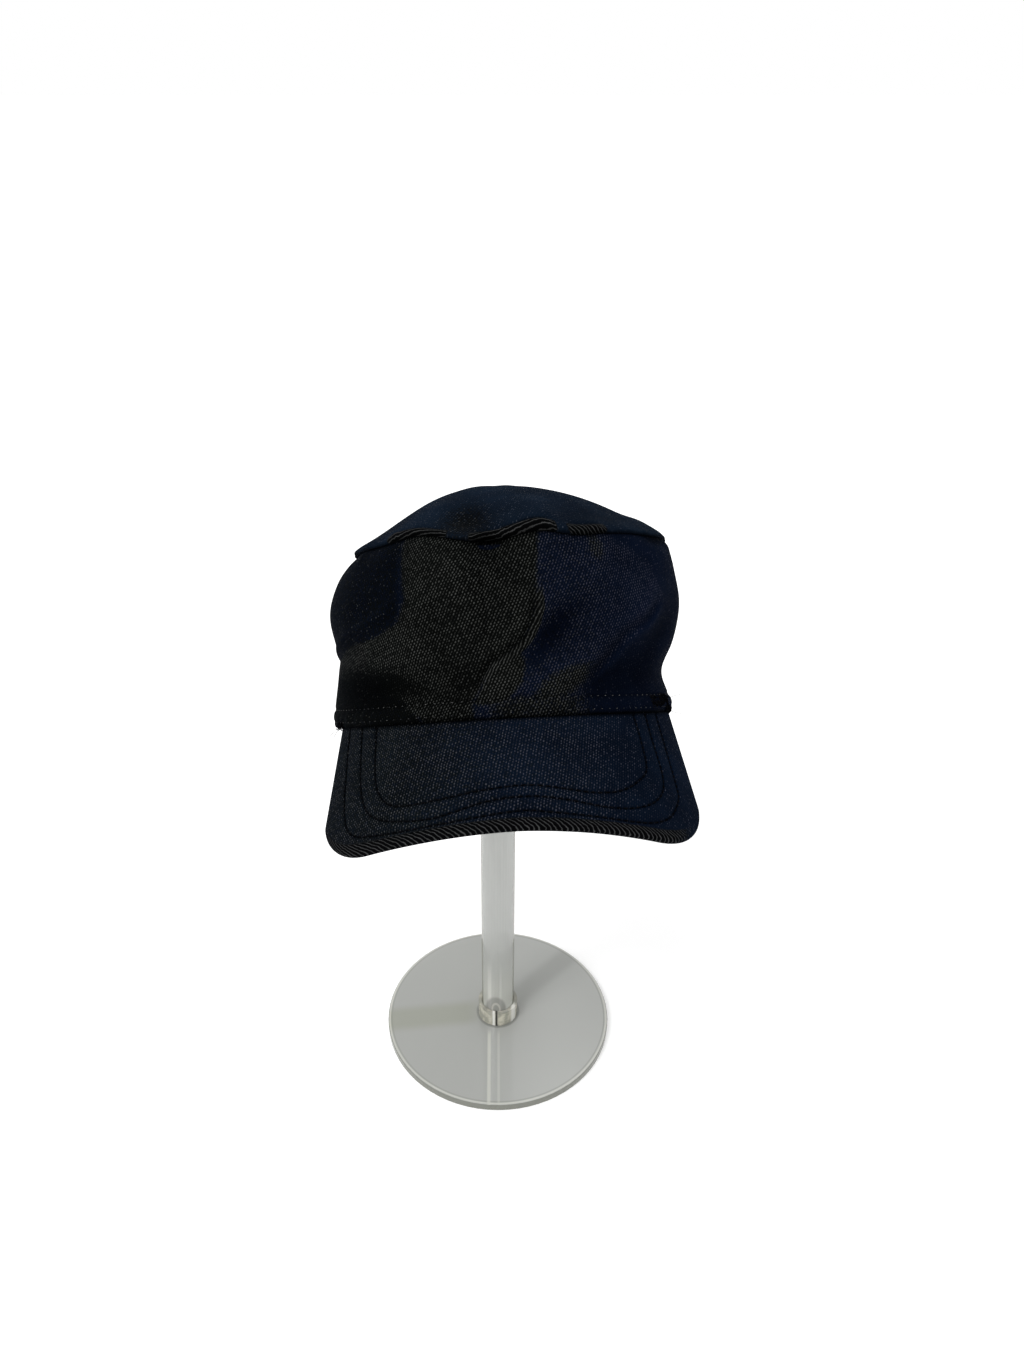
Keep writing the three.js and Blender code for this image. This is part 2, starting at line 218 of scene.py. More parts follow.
# The hem's two rows of stitches: height over the hem, length and radius of a stitch.
HEM_ROWS = {"": (8.0, 0.8, 0.18), "_edge": (2.2, 0.7, 0.14)}
HEM_PITCH = 4.2
HEM_SUNK = 0.35

# The peak's stitched rows, each a run of (share of the half width, share of the length).
ROW_OUTER = (
    (-0.88, 0.0), (-0.86, 0.3), (-0.83, 0.63), (-0.79, 0.8), (-0.72, 0.87), (-0.58, 0.9), (-0.33, 0.905),
    (-0.12, 0.88), (0.0, 0.86), (0.09, 0.865), (0.3, 0.895), (0.48, 0.905), (0.59, 0.885), (0.69, 0.83),
    (0.77, 0.74), (0.8, 0.66), (0.8, 0.4), (0.795, 0.0),
)
ROW_MIDDLE = (
    (-0.76, 0.0), (-0.74, 0.3), (-0.71, 0.55), (-0.66, 0.7), (-0.6, 0.77), (-0.5, 0.82), (-0.33, 0.845),
    (-0.12, 0.76), (0.05, 0.735), (0.2, 0.765), (0.36, 0.81), (0.49, 0.795), (0.6, 0.735), (0.68, 0.64),
    (0.71, 0.5), (0.7, 0.24), (0.695, 0.0),
)
ROW_INNER = (
    (-0.65, 0.0), (-0.64, 0.3), (-0.62, 0.5), (-0.58, 0.62), (-0.52, 0.69), (-0.43, 0.71), (-0.27, 0.69),
    (-0.12, 0.655), (0.05, 0.635), (0.2, 0.67), (0.32, 0.695), (0.44, 0.665), (0.54, 0.575), (0.61, 0.46),
    (0.615, 0.2), (0.605, 0.0),
)

# Counts of facets.
WALL_COLUMNS = 640
WALL_ROWS = 118
INNER_ROWS = 14
TOP_ROWS = 84
TOP_INNER_ROWS = 10
PEAK_COLUMNS = 420
PEAK_ROWS = 110
UNDER_ROWS = 40
EDGE_ROWS = 10

# The peak's stitches: pitch, share of it that shows, thread radius, depth of the groove they press and how
# far they stand out of it, and the spacing of the points that a row is counted in.
PEAK_PITCH = 2.7
PEAK_SHOWN = 0.8
PEAK_THREAD = 0.3
GROOVE = 0.62
THREAD_RISE = 0.25
FINE_STEP = 0.1

# Twill: distance between wales, length of a pale float along a wale, and the wales' lean in degrees.
WALE = 1.25
FLOAT_LENGTH = 1.5
FRONT_LEAN = 65
TOP_LEAN = 58
PEAK_LEAN = 78
# The peak's front strip: where across the peak its lean is given, the lean there, its width and its wales.
STRIP_SIDES = (-0.95, -0.6, 0.0, 0.5, 0.95)
STRIP_LEAN = (-18, -30, -38, -38, -38)
STRIP_WIDTH = 4.2
STRIP_WALE = 1.35
# How far the wall's two edges reach into the seams, and how far its face may be pushed in.
EDGE_REACH = 0.27
DEEPEST = 1.6
# Share of the floats that always shows a little, and how much folds pale or darken the cloth: painted shade
# in hollows, and paler ridges that are partly wear and partly painted light.
STEADY_FLECKS = 0.24
WEAR_AND_FOLD_SHADE = 0.2

# The stand: its disc's radius, the collar's top, and the height to which the rod's foot looks paler.
DISC_RADIUS = 70
COLLAR_TOP = 16.3
ROD_SEEN = 60
FOOT_ASIDE = -1.2
CLEAR_IOR = 1.49

# Camera and light, in metres and degrees.
LENS = 27.03
SENSOR = 36.0
SHIFT = 0.0103
CAMERA_PLACE = (0.0, -0.4576, 0.5227)
CAMERA_TILT = 59.234
SUN_WAY = (0.44, 0.5, -1.0)
SUN_STRENGTH = 1.5
SUN_SPREAD = 24
FLOOR_HALF = 30.0
FLOOR_LEVEL = -0.0002

# Fine angles that arc lengths are read from, and how many points are compared with a run at a time.
ROUND = np.linspace(-180, 180, 1441)
BLOCK = 4000

rng = np.random.default_rng(11)


def bump(offset):
    return np.exp(-0.5 * offset * offset)


def fall(offset):
    """A narrower bump, for the cloth that sinks into a seam."""
    return np.exp(-offset * offset)


def turn(start, end):
    return (end - start + 180.0) % 360.0 - 180.0


def ramp(low, high, value):
    """Smooth step from 0 at low to 1 at high."""
    t = np.clip((value - low) / (high - low), 0, 1)
    return t * t * (3 - 2 * t)


def window(low, high, soft, value):
    return ramp(low, low + soft, value) * (1 - ramp(high - soft, high, value))


def waves(table, angle):
    """Sum of bumps round the cap; rows are angle, height and wide."""
    return sum(height * bump(turn(at, angle) / wide) for at, height, wide in table)


def soft_spot(angle, at, wide, level, middle, tall):
    """1 at one angle and level, and 0 away from them."""
    return bump(turn(at, angle) / wide) * bump((level - middle) / tall)


def folds(table, angle, level):
    """Sum of folds; rows are angle, level, height, wide, tall and a lean if there is one."""
    total = 0 * angle
    for at, middle, height, wide, tall, *lean in table:
        start = at + (lean[0] if lean else 0) * (level - middle)
        total = total + height * soft_spot(angle, start, wide, level, middle, tall)
    return total


def unit(vectors):
    return vectors / np.linalg.norm(vectors, axis=-1, keepdims=True)


def summed(steps):
    """Running sum that starts at 0."""
    return np.concatenate([[0], np.cumsum(steps)])


def sine(angle):
    return np.sin(np.radians(angle))


def cosine(angle):
    return np.cos(np.radians(angle))


def quarters(angle):
    ahead, aside = cosine(angle), sine(angle)
    sides = (ahead, aside, -ahead, -aside)
    return [np.maximum(side, 0) ** 2 for side in sides]


def section_share(column, up):
    ups, values = SECTIONS[:, 0], SECTIONS[:, column]
    last = len(ups) - 1
    low = np.clip(np.searchsorted(ups, up, side="right") - 1, 0, last - 1)
    before, high, beyond = np.maximum(low - 1, 0), low + 1, np.minimum(low + 2, last)
    span = ups[high] - ups[low]
    slope_low = (values[high] - values[before]) / (ups[high] - ups[before])
    slope_high = (values[beyond] - values[low]) / (ups[beyond] - ups[low])
    t = (up - ups[low]) / span
    t2, t3 = t * t, t * t * t
    ends = values[low] * (2 * t3 - 3 * t2 + 1) + values[high] * (3 * t2 - 2 * t3)
    return ends + span * (slope_low * (t3 - 2 * t2 + t) + slope_high * (t3 - t2))


def seam_height(angle):
    front, right, back, left = quarters(angle)
    level = FRONT_HEIGHT * front + SIDE_HEIGHT * (right + left) + BACK_HEIGHT * back
    return level + FRONT_HEIGHT * waves(SEAM_WAVES, angle)


def wall_point(angle, up):
    share = sum(weight * section_share(k + 1, up) for k, weight in enumerate(quarters(angle)))
    share = share - folds(WALL_DENTS, angle, up)
    height = HEM_ARCH * quarters(angle)[0] * (1 - up) + seam_height(angle) * up
    x = CROWN_WIDTH / 2 * share * sine(angle)
    y = -CROWN_LENGTH / 2 * share * cosine(angle)
    return np.stack([x, y, height], -1)


def wall_outward(angle, up):
    step = 0.01
    along = wall_point(angle + step, up) - wall_point(angle - step, up)
    return unit(np.stack([along[..., 1], -along[..., 0], 0 * along[..., 0]], -1))


def top_point(angle, out):
    rim = wall_point(angle, np.ones_like(angle))
    middle = (FRONT_HEIGHT + 2 * SIDE_HEIGHT + BACK_HEIGHT) / 4
    lip = 1 - out ** LIP_POWER
    dome = TOP_RISE * (1 - out ** DOME_POWER - folds(TOP_DENTS, angle, out) * lip)
    height = middle + (rim[..., 2] - middle) * out * out + dome + TOP_LIP * lip + GAP
    return np.stack([rim[..., 0] * out, rim[..., 1] * out, height], -1)


def peak_direction(side):
    droop = PEAK_DROOP + PEAK_TWIST * side - PEAK_DROOP_LOSS * side * side
    fan = PEAK_FAN * side + PEAK_TURN
    return np.stack([sine(fan) * cosine(droop), -cosine(fan) * cosine(droop), -sine(droop)], -1)


def peak_seam(side):
    return wall_point(PEAK_REACH * side, 0 * side) - np.array([0, 0, GAP])


def peak_outward(side):
    step = 1e-3
    along = peak_seam(side + step) - peak_seam(side - step)
    return unit(np.cross(peak_direction(side), along))


def end_span():
    """Distance across the flat peak for one share of its half width, at its end."""
    step = 1e-3
    end = np.array(1.0)
    along = (peak_seam(end) - peak_seam(end - step)) / step
    rule = peak_direction(end)
    return np.linalg.norm(along - rule * (along @ rule))


END_SPAN = end_span()


def distance_to_end(side):
    return END_SPAN * (1 - np.abs(side))


def peak_length(side):
    full = PEAK_LENGTH + PEAK_SIDE_GAIN * np.abs(side) ** SIDE_GAIN_POWER
    corner = PEAK_CORNER + RIGHT_CORNER_GAIN * (side > 0)
    into = np.maximum(corner - distance_to_end(side), 0) / corner
    return full - corner * (1 - np.sqrt(1 - into * into))


def edge_round(distance):
    into = np.clip(1 - distance / (PEAK_THICKNESS / 2), 0, 1)
    return np.sqrt(1 - into * into)


def cap_matrix():
    tilt, roll = -CAP_TILT, CAP_ROLL
    about_x = np.array([[1, 0, 0], [0, cosine(tilt), -sine(tilt)], [0, sine(tilt), cosine(tilt)]])
    about_y = np.array([[cosine(roll), 0, sine(roll)], [0, 1, 0], [-sine(roll), 0, cosine(roll)]])
    return about_x @ about_y


CAP_MATRIX = cap_matrix()


def seat_height():
    """Height of the cap's origin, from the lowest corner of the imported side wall."""
    angle = np.arange(COARSE_AROUND) * 360.0 / COARSE_AROUND
    up = np.zeros_like(angle)
    outer = wall_point(angle, up)
    rings = np.concatenate([outer, outer - CLOTH * wall_outward(angle, up)])
    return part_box("crown_side")[0].z / MM - (rings @ CAP_MATRIX.T)[:, 2].min()


CAP_PLACE = np.array([CAP_ASIDE, -CAP_FORWARD, seat_height()])


def to_frame(points):
    """Millimetres on the cap to metres in the row frame."""
    return (np.asarray(points).reshape(-1, 3) @ CAP_MATRIX.T + CAP_PLACE) * MM


def grid_quads(rows, columns, around):
    """Quads between neighbouring rows of points."""
    low = np.arange(rows - 1)[:, None] * columns
    here = np.arange(columns if around else columns - 1)[None, :]
    after = (here + 1) % columns
    quads = np.stack([low + here, low + after, low + columns + after, low + columns + here], -1)
    return quads.reshape(-1, 4)


def closed_quads(rows, columns, around):
    """Quads between the rows, and between the last row and the first."""
    closing = grid_quads(2, columns, around)
    closing = np.where(closing < columns, closing + (rows - 1) * columns, closing - columns)
    return [grid_quads(rows, columns, around), closing]


def make_object(name, points, faces, material, attributes=None):
    """A smooth mesh in metres. faces are index arrays of triangles or quads."""
    mesh = bpy.data.meshes.new(name)
    mesh.vertices.add(len(points))
    mesh.vertices.foreach_set("co", np.asarray(points, np.float32).ravel())
    corners = np.concatenate([np.asarray(f, np.int32).ravel() for f in faces])
    counts = np.concatenate([np.full(len(f), f.shape[1]) for f in faces])
    starts = np.concatenate([[0], np.cumsum(counts)[:-1]])
    mesh.loops.add(len(corners))
    mesh.loops.foreach_set("vertex_index", corners)
    mesh.polygons.add(len(counts))
    mesh.polygons.foreach_set("loop_start", starts.astype(np.int32))
    mesh.update(calc_edges=True)
    mesh.validate()
    mesh.shade_smooth()
    for key, values in (attributes or {}).items():
        layer = mesh.attributes.new(key, "FLOAT_VECTOR", "POINT")
        layer.data.foreach_set("vector", np.asarray(values, np.float32).ravel())
    mesh.materials.append(material)
    obj = bpy.data.objects.new(name, mesh)
    bpy.context.scene.collection.objects.link(obj)
    return obj


def place(obj, slot, replaced=None):
    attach(obj, "root")
    if replaced:
        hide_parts(replaced)


def twill(across, along, lean, bold=0.0):
    """Cloth coordinates: wales counted across, floats counted along, and how bold and unbroken they are."""
    wales = (across * sine(lean) - along * cosine(lean)) / WALE
    floats = (across * cosine(lean) + along * sine(lean)) / FLOAT_LENGTH
    return np.stack([wales, floats, bold + 0 * wales], -1)


def drawn(count, *ranges):
    """Rows of random numbers, one column for each range."""
    return np.stack([rng.uniform(low, high, count) for low, high in ranges], -1)


# Small puckers of the two seams, as angle, height and wide, and soft waves of the wall, as its folds.
TOP_PUCKERS = drawn(130, (-180, 180), (-0.55, 0.55), (0.8, 2.2))
HEM_PUCKERS = drawn(170, (-180, 180), (-0.3, 0.32), (0.6, 1.5))
SOFT_WAVES = drawn(16, (0, 360), (0, 1), (-0.55, 0.55), (6, 14), (0.06, 0.16), (-60, 60))


def roll_height(angle):
    return sum(height * window(low, high, 7, angle) for low, high, height in SEAM_ROLLS)


def arc_length(angle):
    """Distance round the hem's ellipse from the front, in millimetres."""
    x, y = CROWN_WIDTH / 2 * sine(ROUND), -CROWN_LENGTH / 2 * cosine(ROUND)
    run = summed(np.hypot(np.diff(x), np.diff(y)))
    return np.interp(angle, ROUND, run - run[len(run) // 2])


def angle_at(run):
    """Angle at a distance round the hem, the inverse of arc_length."""
    return np.interp(run, arc_length(ROUND), ROUND)


def front_columns(count):
    """Angles round the cap, closer together at the front."""
    share = np.linspace(-1, 1, count, endpoint=False)
    return 180 * (0.62 * share + 0.38 * share ** 3)


def patch(angle, up, at, level, wide, tall, lean=0.0):
    """1 inside a soft patch of the side wall and 0 away from it."""
    across = turn(at + lean * (up - level), angle) / wide
    return 1 - ramp(0.4, 1.5, np.hypot(across, (up - level) / tall))


def front_edges(up):
    """Angles between which the grey-black front of the side wall lies at a height; its tone is painted
    reflected light.
    """
    return np.interp(up, *zip(*LEFT_EDGE)), np.interp(up, *zip(*RIGHT_EDGE))


def grey_share(angle, up):
    """How far the cloth turns from navy to grey black: the front, a painted difference in reflected light,
    and the painted shade of the lower left.
    """
    left, right = front_edges(up)
    # Painted reflected light: the front turns grey black where the sides show navy.
    front = ramp(left - 3, left + 3, angle) * (1 - ramp(right - 2, right + 2, angle))
    shaded = (1 - ramp(0.36, 0.54, up - 0.002 * (angle + 50))) * (1 - ramp(-30, -20, angle))
    shaded = shaded * ramp(-130, -85, angle)
    pillow_edge = np.interp(up, *zip(*PILLOW_EDGE))
    beyond = ramp(right - 1, right + 1, angle)
    pillow = ramp(0.05, 0.1, up) * (1 - ramp(pillow_edge - 2, pillow_edge + 2, angle)) * beyond
    low_right = 0.8 * patch(angle, up, 16, 0.17, 8, 0.13, 60)
    under_seam = 0.6 * patch(angle, up, 29, 0.93, 3, 0.1)
    upper_left = 0.6 * (1 - ramp(-36, -28, angle)) * ramp(-140, -90, angle)
    middle = 0.3 * beyond * (1 - ramp(20, 50, angle))
    middle += 0.45 * (1 - ramp(0.07, 0.14, up)) * ramp(-8, -1, angle) * (1 - ramp(14, 30, angle))
    parts = [front, 0.85 * shaded, pillow, low_right, under_seam, upper_left, ridge_share(angle, up), middle]
    return np.clip(np.maximum.reduce(parts), 0, 1)


def fleck_share(angle, up):
    """Share of the twill's floats that show pale on the side wall."""
    left, right = front_edges(up)
    beyond = ramp(right - 1, right + 1, angle)
    fold = np.interp(up, *zip(*FOLD_EDGE))
    fleck = 0.16 + 0.66 * ramp(left - 2, left + 2, angle) * (1 - beyond)
    fleck += 0.62 * (1 - ramp(fold - 3, fold + 3, angle)) * beyond
    fleck -= 0.5 * patch(angle, up, 11.5, 0.4, 3.5, 0.16, 38) * ramp(right, right + 2, angle)
    for share, *place in FLECK_PATCHES:
        fleck += share * patch(angle, up, *place)
    return np.clip(fleck, 0.08, 1)


def nearest_spots(here, spots):
    """For each flat point, the number of the nearest spot and the offset from that spot."""
    blocks = np.split(here, range(BLOCK, len(here), BLOCK))
    found = np.concatenate([((block[:, None] - spots) ** 2).sum(-1).argmin(1) for block in blocks])
    return found, here - spots[found]


def unrolled(angle, up):
    """Flat millimetres round the hem and up the side wall."""
    return np.stack([arc_length(angle), up * seam_height(angle)], -1).reshape(-1, 2)


def crease_sides(run, angle, up):
    """Signed millimetres from a crease (positive on the right), and 1 where it runs, fading to its ends."""
    spots = smooth_run(unrolled(*np.asarray(run, float).T), 0.7)
    found, offset = nearest_spots(unrolled(angle, up), spots)
    way = unit(np.gradient(spots, axis=0))[found]
    side = offset[:, 1] * way[:, 0] - offset[:, 0] * way[:, 1]
    signed = np.sign(side) * np.linalg.norm(offset, axis=1)
    fade = window(-0.01, 1.01, 0.22, np.linspace(0, 1, len(spots))[found])
    return signed.reshape(angle.shape), fade.reshape(angle.shape)


def crease_relief(angle, up):
    total = 0 * angle
    for run, proud, proud_wide, sunk, sunk_wide in CREASES:
        signed, fade = crease_sides(run, angle, up)
        rise = proud * bump((signed - 0.8 * proud_wide) / proud_wide)
        total = total + fade * (rise - sunk * bump((signed + 0.9 * sunk_wide) / sunk_wide))
    return total


def ridge_share(angle, up):
    """1 on the bold ridge that crosses the lower front."""
    signed, fade = crease_sides(RIDGE, angle, up)
    return fade * window(-1.6, 3.4, 1.2, signed)


def edge_distances(angle, up):
    """Millimetres over the hem and below the top seam."""
    height = seam_height(angle)
    return up * height, (1 - up) * height


def wall_spot(angle, over_hem, proud):
    angle = np.asarray(angle, float)
    up = over_hem / seam_height(angle)
    return wall_point(angle, up) + wall_outward(angle, up) * proud


def wall_relief(angle, up):
    """Outward relief of the side wall's face in millimetres."""
    over_hem, below_seam = edge_distances(angle, up)
    relief = folds(SOFT_WAVES, angle, up) + crease_relief(angle, up)
    relief += waves(TOP_PUCKERS, angle) * np.exp(-below_seam / 6) * ramp(0, 2, below_seam)
    relief += waves(HEM_PUCKERS, angle) * bump((over_hem - 4.5) / 3)
    high, low = (row[0] for row in HEM_ROWS.values())
    relief = relief - 0.55 * bump((over_hem - high) / 0.7) - 0.3 * bump((over_hem - low) / 0.6)
    relief += 0.5 * bump((over_hem - 5) / 2)
    relief = relief - 1.3 * fall(below_seam / 1.6) - 0.5 * fall(over_hem / 0.7)
    pit = 2.8 * soft_spot(angle, PIT_ANGLE, 2.6, below_seam, 0.8, 2.2)
    notch = 1.6 * soft_spot(angle, RIGHT_NOTCH, 5, below_seam, 2, 2.2)
    left_notch = 2.2 * soft_spot(angle, LEFT_NOTCH, 9, below_seam, 0, 2.4)
    return folds(WALL_FOLDS, angle, up) + np.maximum(relief - pit - notch - left_notch, -DEEPEST)


def wear_and_fold_shade(relief):
    """Paler cloth on raised folds, partly wear and partly painted light, and painted shade in hollows."""
    return np.clip(1 + WEAR_AND_FOLD_SHADE * relief, 0.5, 1.35)


def wall_shade(angle, up):
    """Shade of the side wall's face: dark in seams and hollows, paler where it stands proud."""
    over_hem, below_seam = edge_distances(angle, up)
    shade = 1 - 0.7 * fall(below_seam / 1.2)
    shade -= (0.65 + 0.3 * ramp(15, 30, angle)) * fall(over_hem / 1.5)
    shade -= 0.95 * soft_spot(angle, PIT_ANGLE, 2.4, below_seam, 1, 1.9)
    shade -= 0.35 * bump((over_hem - HEM_ROWS[""][0]) / 0.5)
    shade -= 0.3 * patch(angle, up, -60, 0.2, 26, 0.12, -60)
    shade -= 0.6 * soft_spot(angle, RIGHT_NOTCH + 1, 6, below_seam, 2, 1.5)
    relief = folds(WALL_FOLDS, angle, up) + 1.3 * crease_relief(angle, up)
    relief -= 0.5 * CROWN_WIDTH / 2 * folds(WALL_DENTS, angle, up)
    # Painted shade in the hollows and painted light on the folds, partly wear.
    return np.clip(shade, 0.12, 1) * wear_and_fold_shade(relief)


def wall_face(angle, up, relief):
    """The side wall's points moved outwards, with its rim and hem drawn out so that no light shows there."""
    over_hem, below_seam = edge_distances(angle, up)
    points = wall_point(angle, up) + wall_outward(angle, up) * relief[..., None]
    points[..., 2] += EDGE_REACH * (ramp(0, 3, over_hem) - ramp(0, 3, below_seam))
    return points


def make_crown_side(material):
    angle, share = np.meshgrid(front_columns(WALL_COLUMNS), np.linspace(0, 1, WALL_ROWS))
    up = 0.5 * share + 0.5 * (0.5 - 0.5 * np.cos(np.pi * share))
    outer = wall_face(angle, up, wall_relief(angle, up))
    inner_angle, inner_up = np.meshgrid(angle[0], np.linspace(1, 0, INNER_ROWS))
    inner = wall_face(inner_angle, inner_up, folds(WALL_FOLDS, inner_angle, inner_up) - CLOTH)
    points = np.concatenate([outer, inner])
    cloth = twill(*unrolled(angle, up).T, FRONT_LEAN, 0.5 * ridge_share(angle, up).ravel())
    inner_cloth = twill(*unrolled(inner_angle, inner_up).T, FRONT_LEAN)
    look = np.stack([grey_share(angle, up), fleck_share(angle, up), wall_shade(angle, up)], -1).reshape(-1, 3)
    quads = closed_quads(len(points), WALL_COLUMNS, True)
    obj = make_object("cloth_crown_side", to_frame(points), quads, material, {
        "twill": np.concatenate([cloth, inner_cloth]),
        "look": np.concatenate([look, np.tile([0.4, 0.6, 0.9], (inner_up.size, 1))]),
    })
    place(obj, "crown_denim", "crown_side")


def top_relief(angle, out, from_rim):
    """Upward and outward relief of the top panel in millimetres."""
    up = folds(TOP_FOLDS, angle, out)
    up += 0.8 * waves(TOP_PUCKERS, angle) * np.exp(-from_rim / 5)
    roll = roll_height(angle)
    up = up + 0.4 * roll * bump((from_rim - 2.6) / 1.5) - 0.45 * roll * bump((from_rim - 6.2) / 1.2)
    rim = window(0.0, 6.5, 3.0, from_rim)
    outward = 0.75 * roll * rim + 0.5 * bump((from_rim - 2.2) / 2.0)
    outward -= 0.9 * fall(from_rim / 0.8)
    outward += 1.6 * soft_spot(angle, LEFT_NOTCH - 2, 9, from_rim, 1.5, 2.5)
    return up, outward


def make_crown_top(material):
    share = np.linspace(0, 1, TOP_ROWS)
    outs = 0.02 + 0.98 * (1 - (1 - share) ** 1.7)
    angle, out = np.meshgrid(front_columns(WALL_COLUMNS), outs)
    outer = top_point(angle, out)
    radius = np.hypot(outer[..., 0], outer[..., 1]) / out
    from_rim = (1 - out) * radius
    rise, outward = top_relief(angle, out, from_rim)
    outer = outer + wall_outward(angle, np.ones_like(angle)) * outward[..., None]
    outer[..., 2] += rise * ramp(0, 0.8, from_rim)
    inner_angle, inner_out = np.meshgrid(angle[0], np.linspace(1, 0.03, TOP_INNER_ROWS))
    inner = top_point(inner_angle, inner_out)
    inward = wall_outward(inner_angle, np.ones_like(inner_angle)) * ramp(0.9, 1.0, inner_out)[..., None]
    inner = inner - CLOTH * inward
    inner[..., 2] -= 1.25 * CLOTH * (1 - ramp(0.93, 1.0, inner_out))
    points = np.concatenate([outer, inner]).reshape(-1, 3)
    last = len(points)
    points = np.concatenate([points, [outer[0].mean(0), inner[-1].mean(0)]])
    rows = TOP_ROWS + TOP_INNER_ROWS
    quads = grid_quads(rows, WALL_COLUMNS, True)[:, ::-1]
    here = np.arange(WALL_COLUMNS)
    after = (here + 1) % WALL_COLUMNS
    end = (rows - 1) * WALL_COLUMNS
    fan = np.stack([here, after, 0 * here + last], -1)
    inner_fan = np.stack([end + after, end + here, 0 * here + last + 1], -1)
    cloth = twill(points[:, 0], points[:, 1], TOP_LEAN)
    strip = roll_height(angle) * window(-1.0, 6.0, 2.0, from_rim) > 0.35
    run = arc_length(angle)
    bold = twill(run, 0.95 * from_rim, 6, 1.0)
    diagonal = twill(0.9 * run, -from_rim, 40, 1.0)
    bold = np.where((angle > SEAM_ROLLS[1][0])[..., None], diagonal, bold)
    count = angle.size
    cloth[:count] = np.where(strip.reshape(-1, 1), bold.reshape(-1, 3), cloth[:count])
    # Painted shade: the hollow at the front of the top turns grey black.
    tone = 0.8 * soft_spot(angle, -13, 8, out, 0.85, 0.14)
    tone = np.where(strip, 1.0, tone)
    fleck = 0.2 + 0.25 * bump(turn(-2, angle) / 24) * ramp(0.5, 0.9, out)
    fleck = np.where(strip, 1.0, fleck)
    shade = 1 - 0.75 * fall(from_rim / 0.9) - 0.3 * roll_height(angle) * bump((from_rim - 6.3) / 0.6)
    shade -= 0.9 * soft_spot(angle, PIT_ANGLE - 0.5, 2.6, from_rim, 0, 1.4)
    # Painted shade in the top's hollows and painted light on its folds, partly wear.
    shade = np.clip(shade, 0.1, 1) * wear_and_fold_shade(folds(TOP_FOLDS, angle, out))
    look = np.stack([tone, fleck, shade], -1).reshape(-1, 3)
    rest = np.tile([0.3, 0.5, 0.9], (len(points) - count, 1))
    obj = make_object("cloth_crown_top", to_frame(points), [quads, fan, inner_fan], material, {
        "twill": cloth,
        "look": np.concatenate([look, rest]),
    })
    place(obj, "crown_denim", "crown_top")


def smooth_run(points, step):
    """Points every step along a smooth curve through control points."""
    control = np.asarray(points, float)
    padded = np.concatenate([[2 * control[0] - control[1]], control, [2 * control[-1] - control[-2]]])
    t = np.linspace(0, 1, 24, endpoint=False)[:, None]
    parts = []
    for a, b, c, d in zip(padded[:-3], padded[1:-2], padded[2:-1], padded[3:]):
        bend = 2 * b + (c - a) * t + (2 * a - 5 * b + 4 * c - d) * t ** 2 + (3 * b - a - 3 * c + d) * t ** 3
        parts.append(0.5 * bend)
    curve = np.concatenate([*parts, control[-1:]])
    run = summed(np.linalg.norm(np.diff(curve, axis=0), axis=1))
    at = np.linspace(0, run[-1], int(run[-1] / step) + 1)
    return np.stack([np.interp(at, run, curve[:, k]) for k in range(curve.shape[1])], -1)


def peak_flat(side, along):
    """Flat coordinates of a point of the peak: across and along, in millimetres."""
    fine = np.linspace(-1, 1, 401)
    middle = peak_seam(fine) + 0.6 * PEAK_LENGTH * peak_direction(fine)
    run = summed(np.linalg.norm(np.diff(middle, axis=0), axis=1))
    across = np.interp(side, fine, run - run[len(run) // 2])
    return np.stack([across, along], -1)


def row_run(row, step):
    """A stitched row as pairs of side share and millimetres along the ruling."""
    shares = np.asarray(row, float)
    along = shares[:, 1] * peak_length(shares[:, 0])
    curve = smooth_run(np.stack([shares[:, 0] * END_SPAN, along], -1), step)
    return np.stack([curve[:, 0] / END_SPAN, curve[:, 1]], -1)


PEAK_RUNS = [row_run(row, 0.8) for row in (ROW_OUTER, ROW_MIDDLE, ROW_INNER)]


def row_distance(side, along):
    """Distance from points of the peak to its nearest stitched row, in millimetres."""
    here = peak_flat(side, along).reshape(-1, 2)
    offsets = [nearest_spots(here, peak_flat(*run.T))[1] for run in PEAK_RUNS]
    return np.linalg.norm(offsets, axis=-1).min(0).reshape(np.shape(side))


def peak_surface(side, along, facing, groove):
    """Point of the peak's upper (facing 1) or lower (facing -1) face."""
    edge = PEAK_THICKNESS / 2
    round_off = edge_round(peak_length(side) - along) * edge_round(distance_to_end(side))
    outward = peak_outward(side)
    depth = facing * (edge * round_off - groove)
    middle = peak_seam(side) + peak_direction(side) * along[..., None] - outward * edge
    return middle + outward * depth[..., None]


def peak_rows(count, side):
    """Distances along the rulings, closer together round the front edge."""
    edge = PEAK_THICKNESS / 2
    length = peak_length(side)
    flat = np.linspace(0, 1, count)[1:]
    body = [(length - edge) * share for share in flat]
    bend = [length - edge * (1 - sine(90 * (k + 1) / EDGE_ROWS)) for k in range(EDGE_ROWS)]
    return np.stack(body + bend)


def groove_depth(side, along):
    """Depth pressed in by the stitched rows, and the distance to the nearest of them."""
    gap = row_distance(side, along)
    return GROOVE * bump(gap / 0.55) + 0.3 * fall(gap / 2.6), gap


def strip_share(side, along):
    """1 on the peak's front strip, where the cloth lies on the bias."""
    width = STRIP_WIDTH + 0.9 * ramp(0.45, 0.8, np.abs(side))
    from_edge = peak_length(side) - along
    ends = ramp(-0.97, -0.9, side) * (1 - ramp(0.62, 0.92, side))
    return ends * (1 - ramp(width - 0.3, width + 0.3, from_edge))


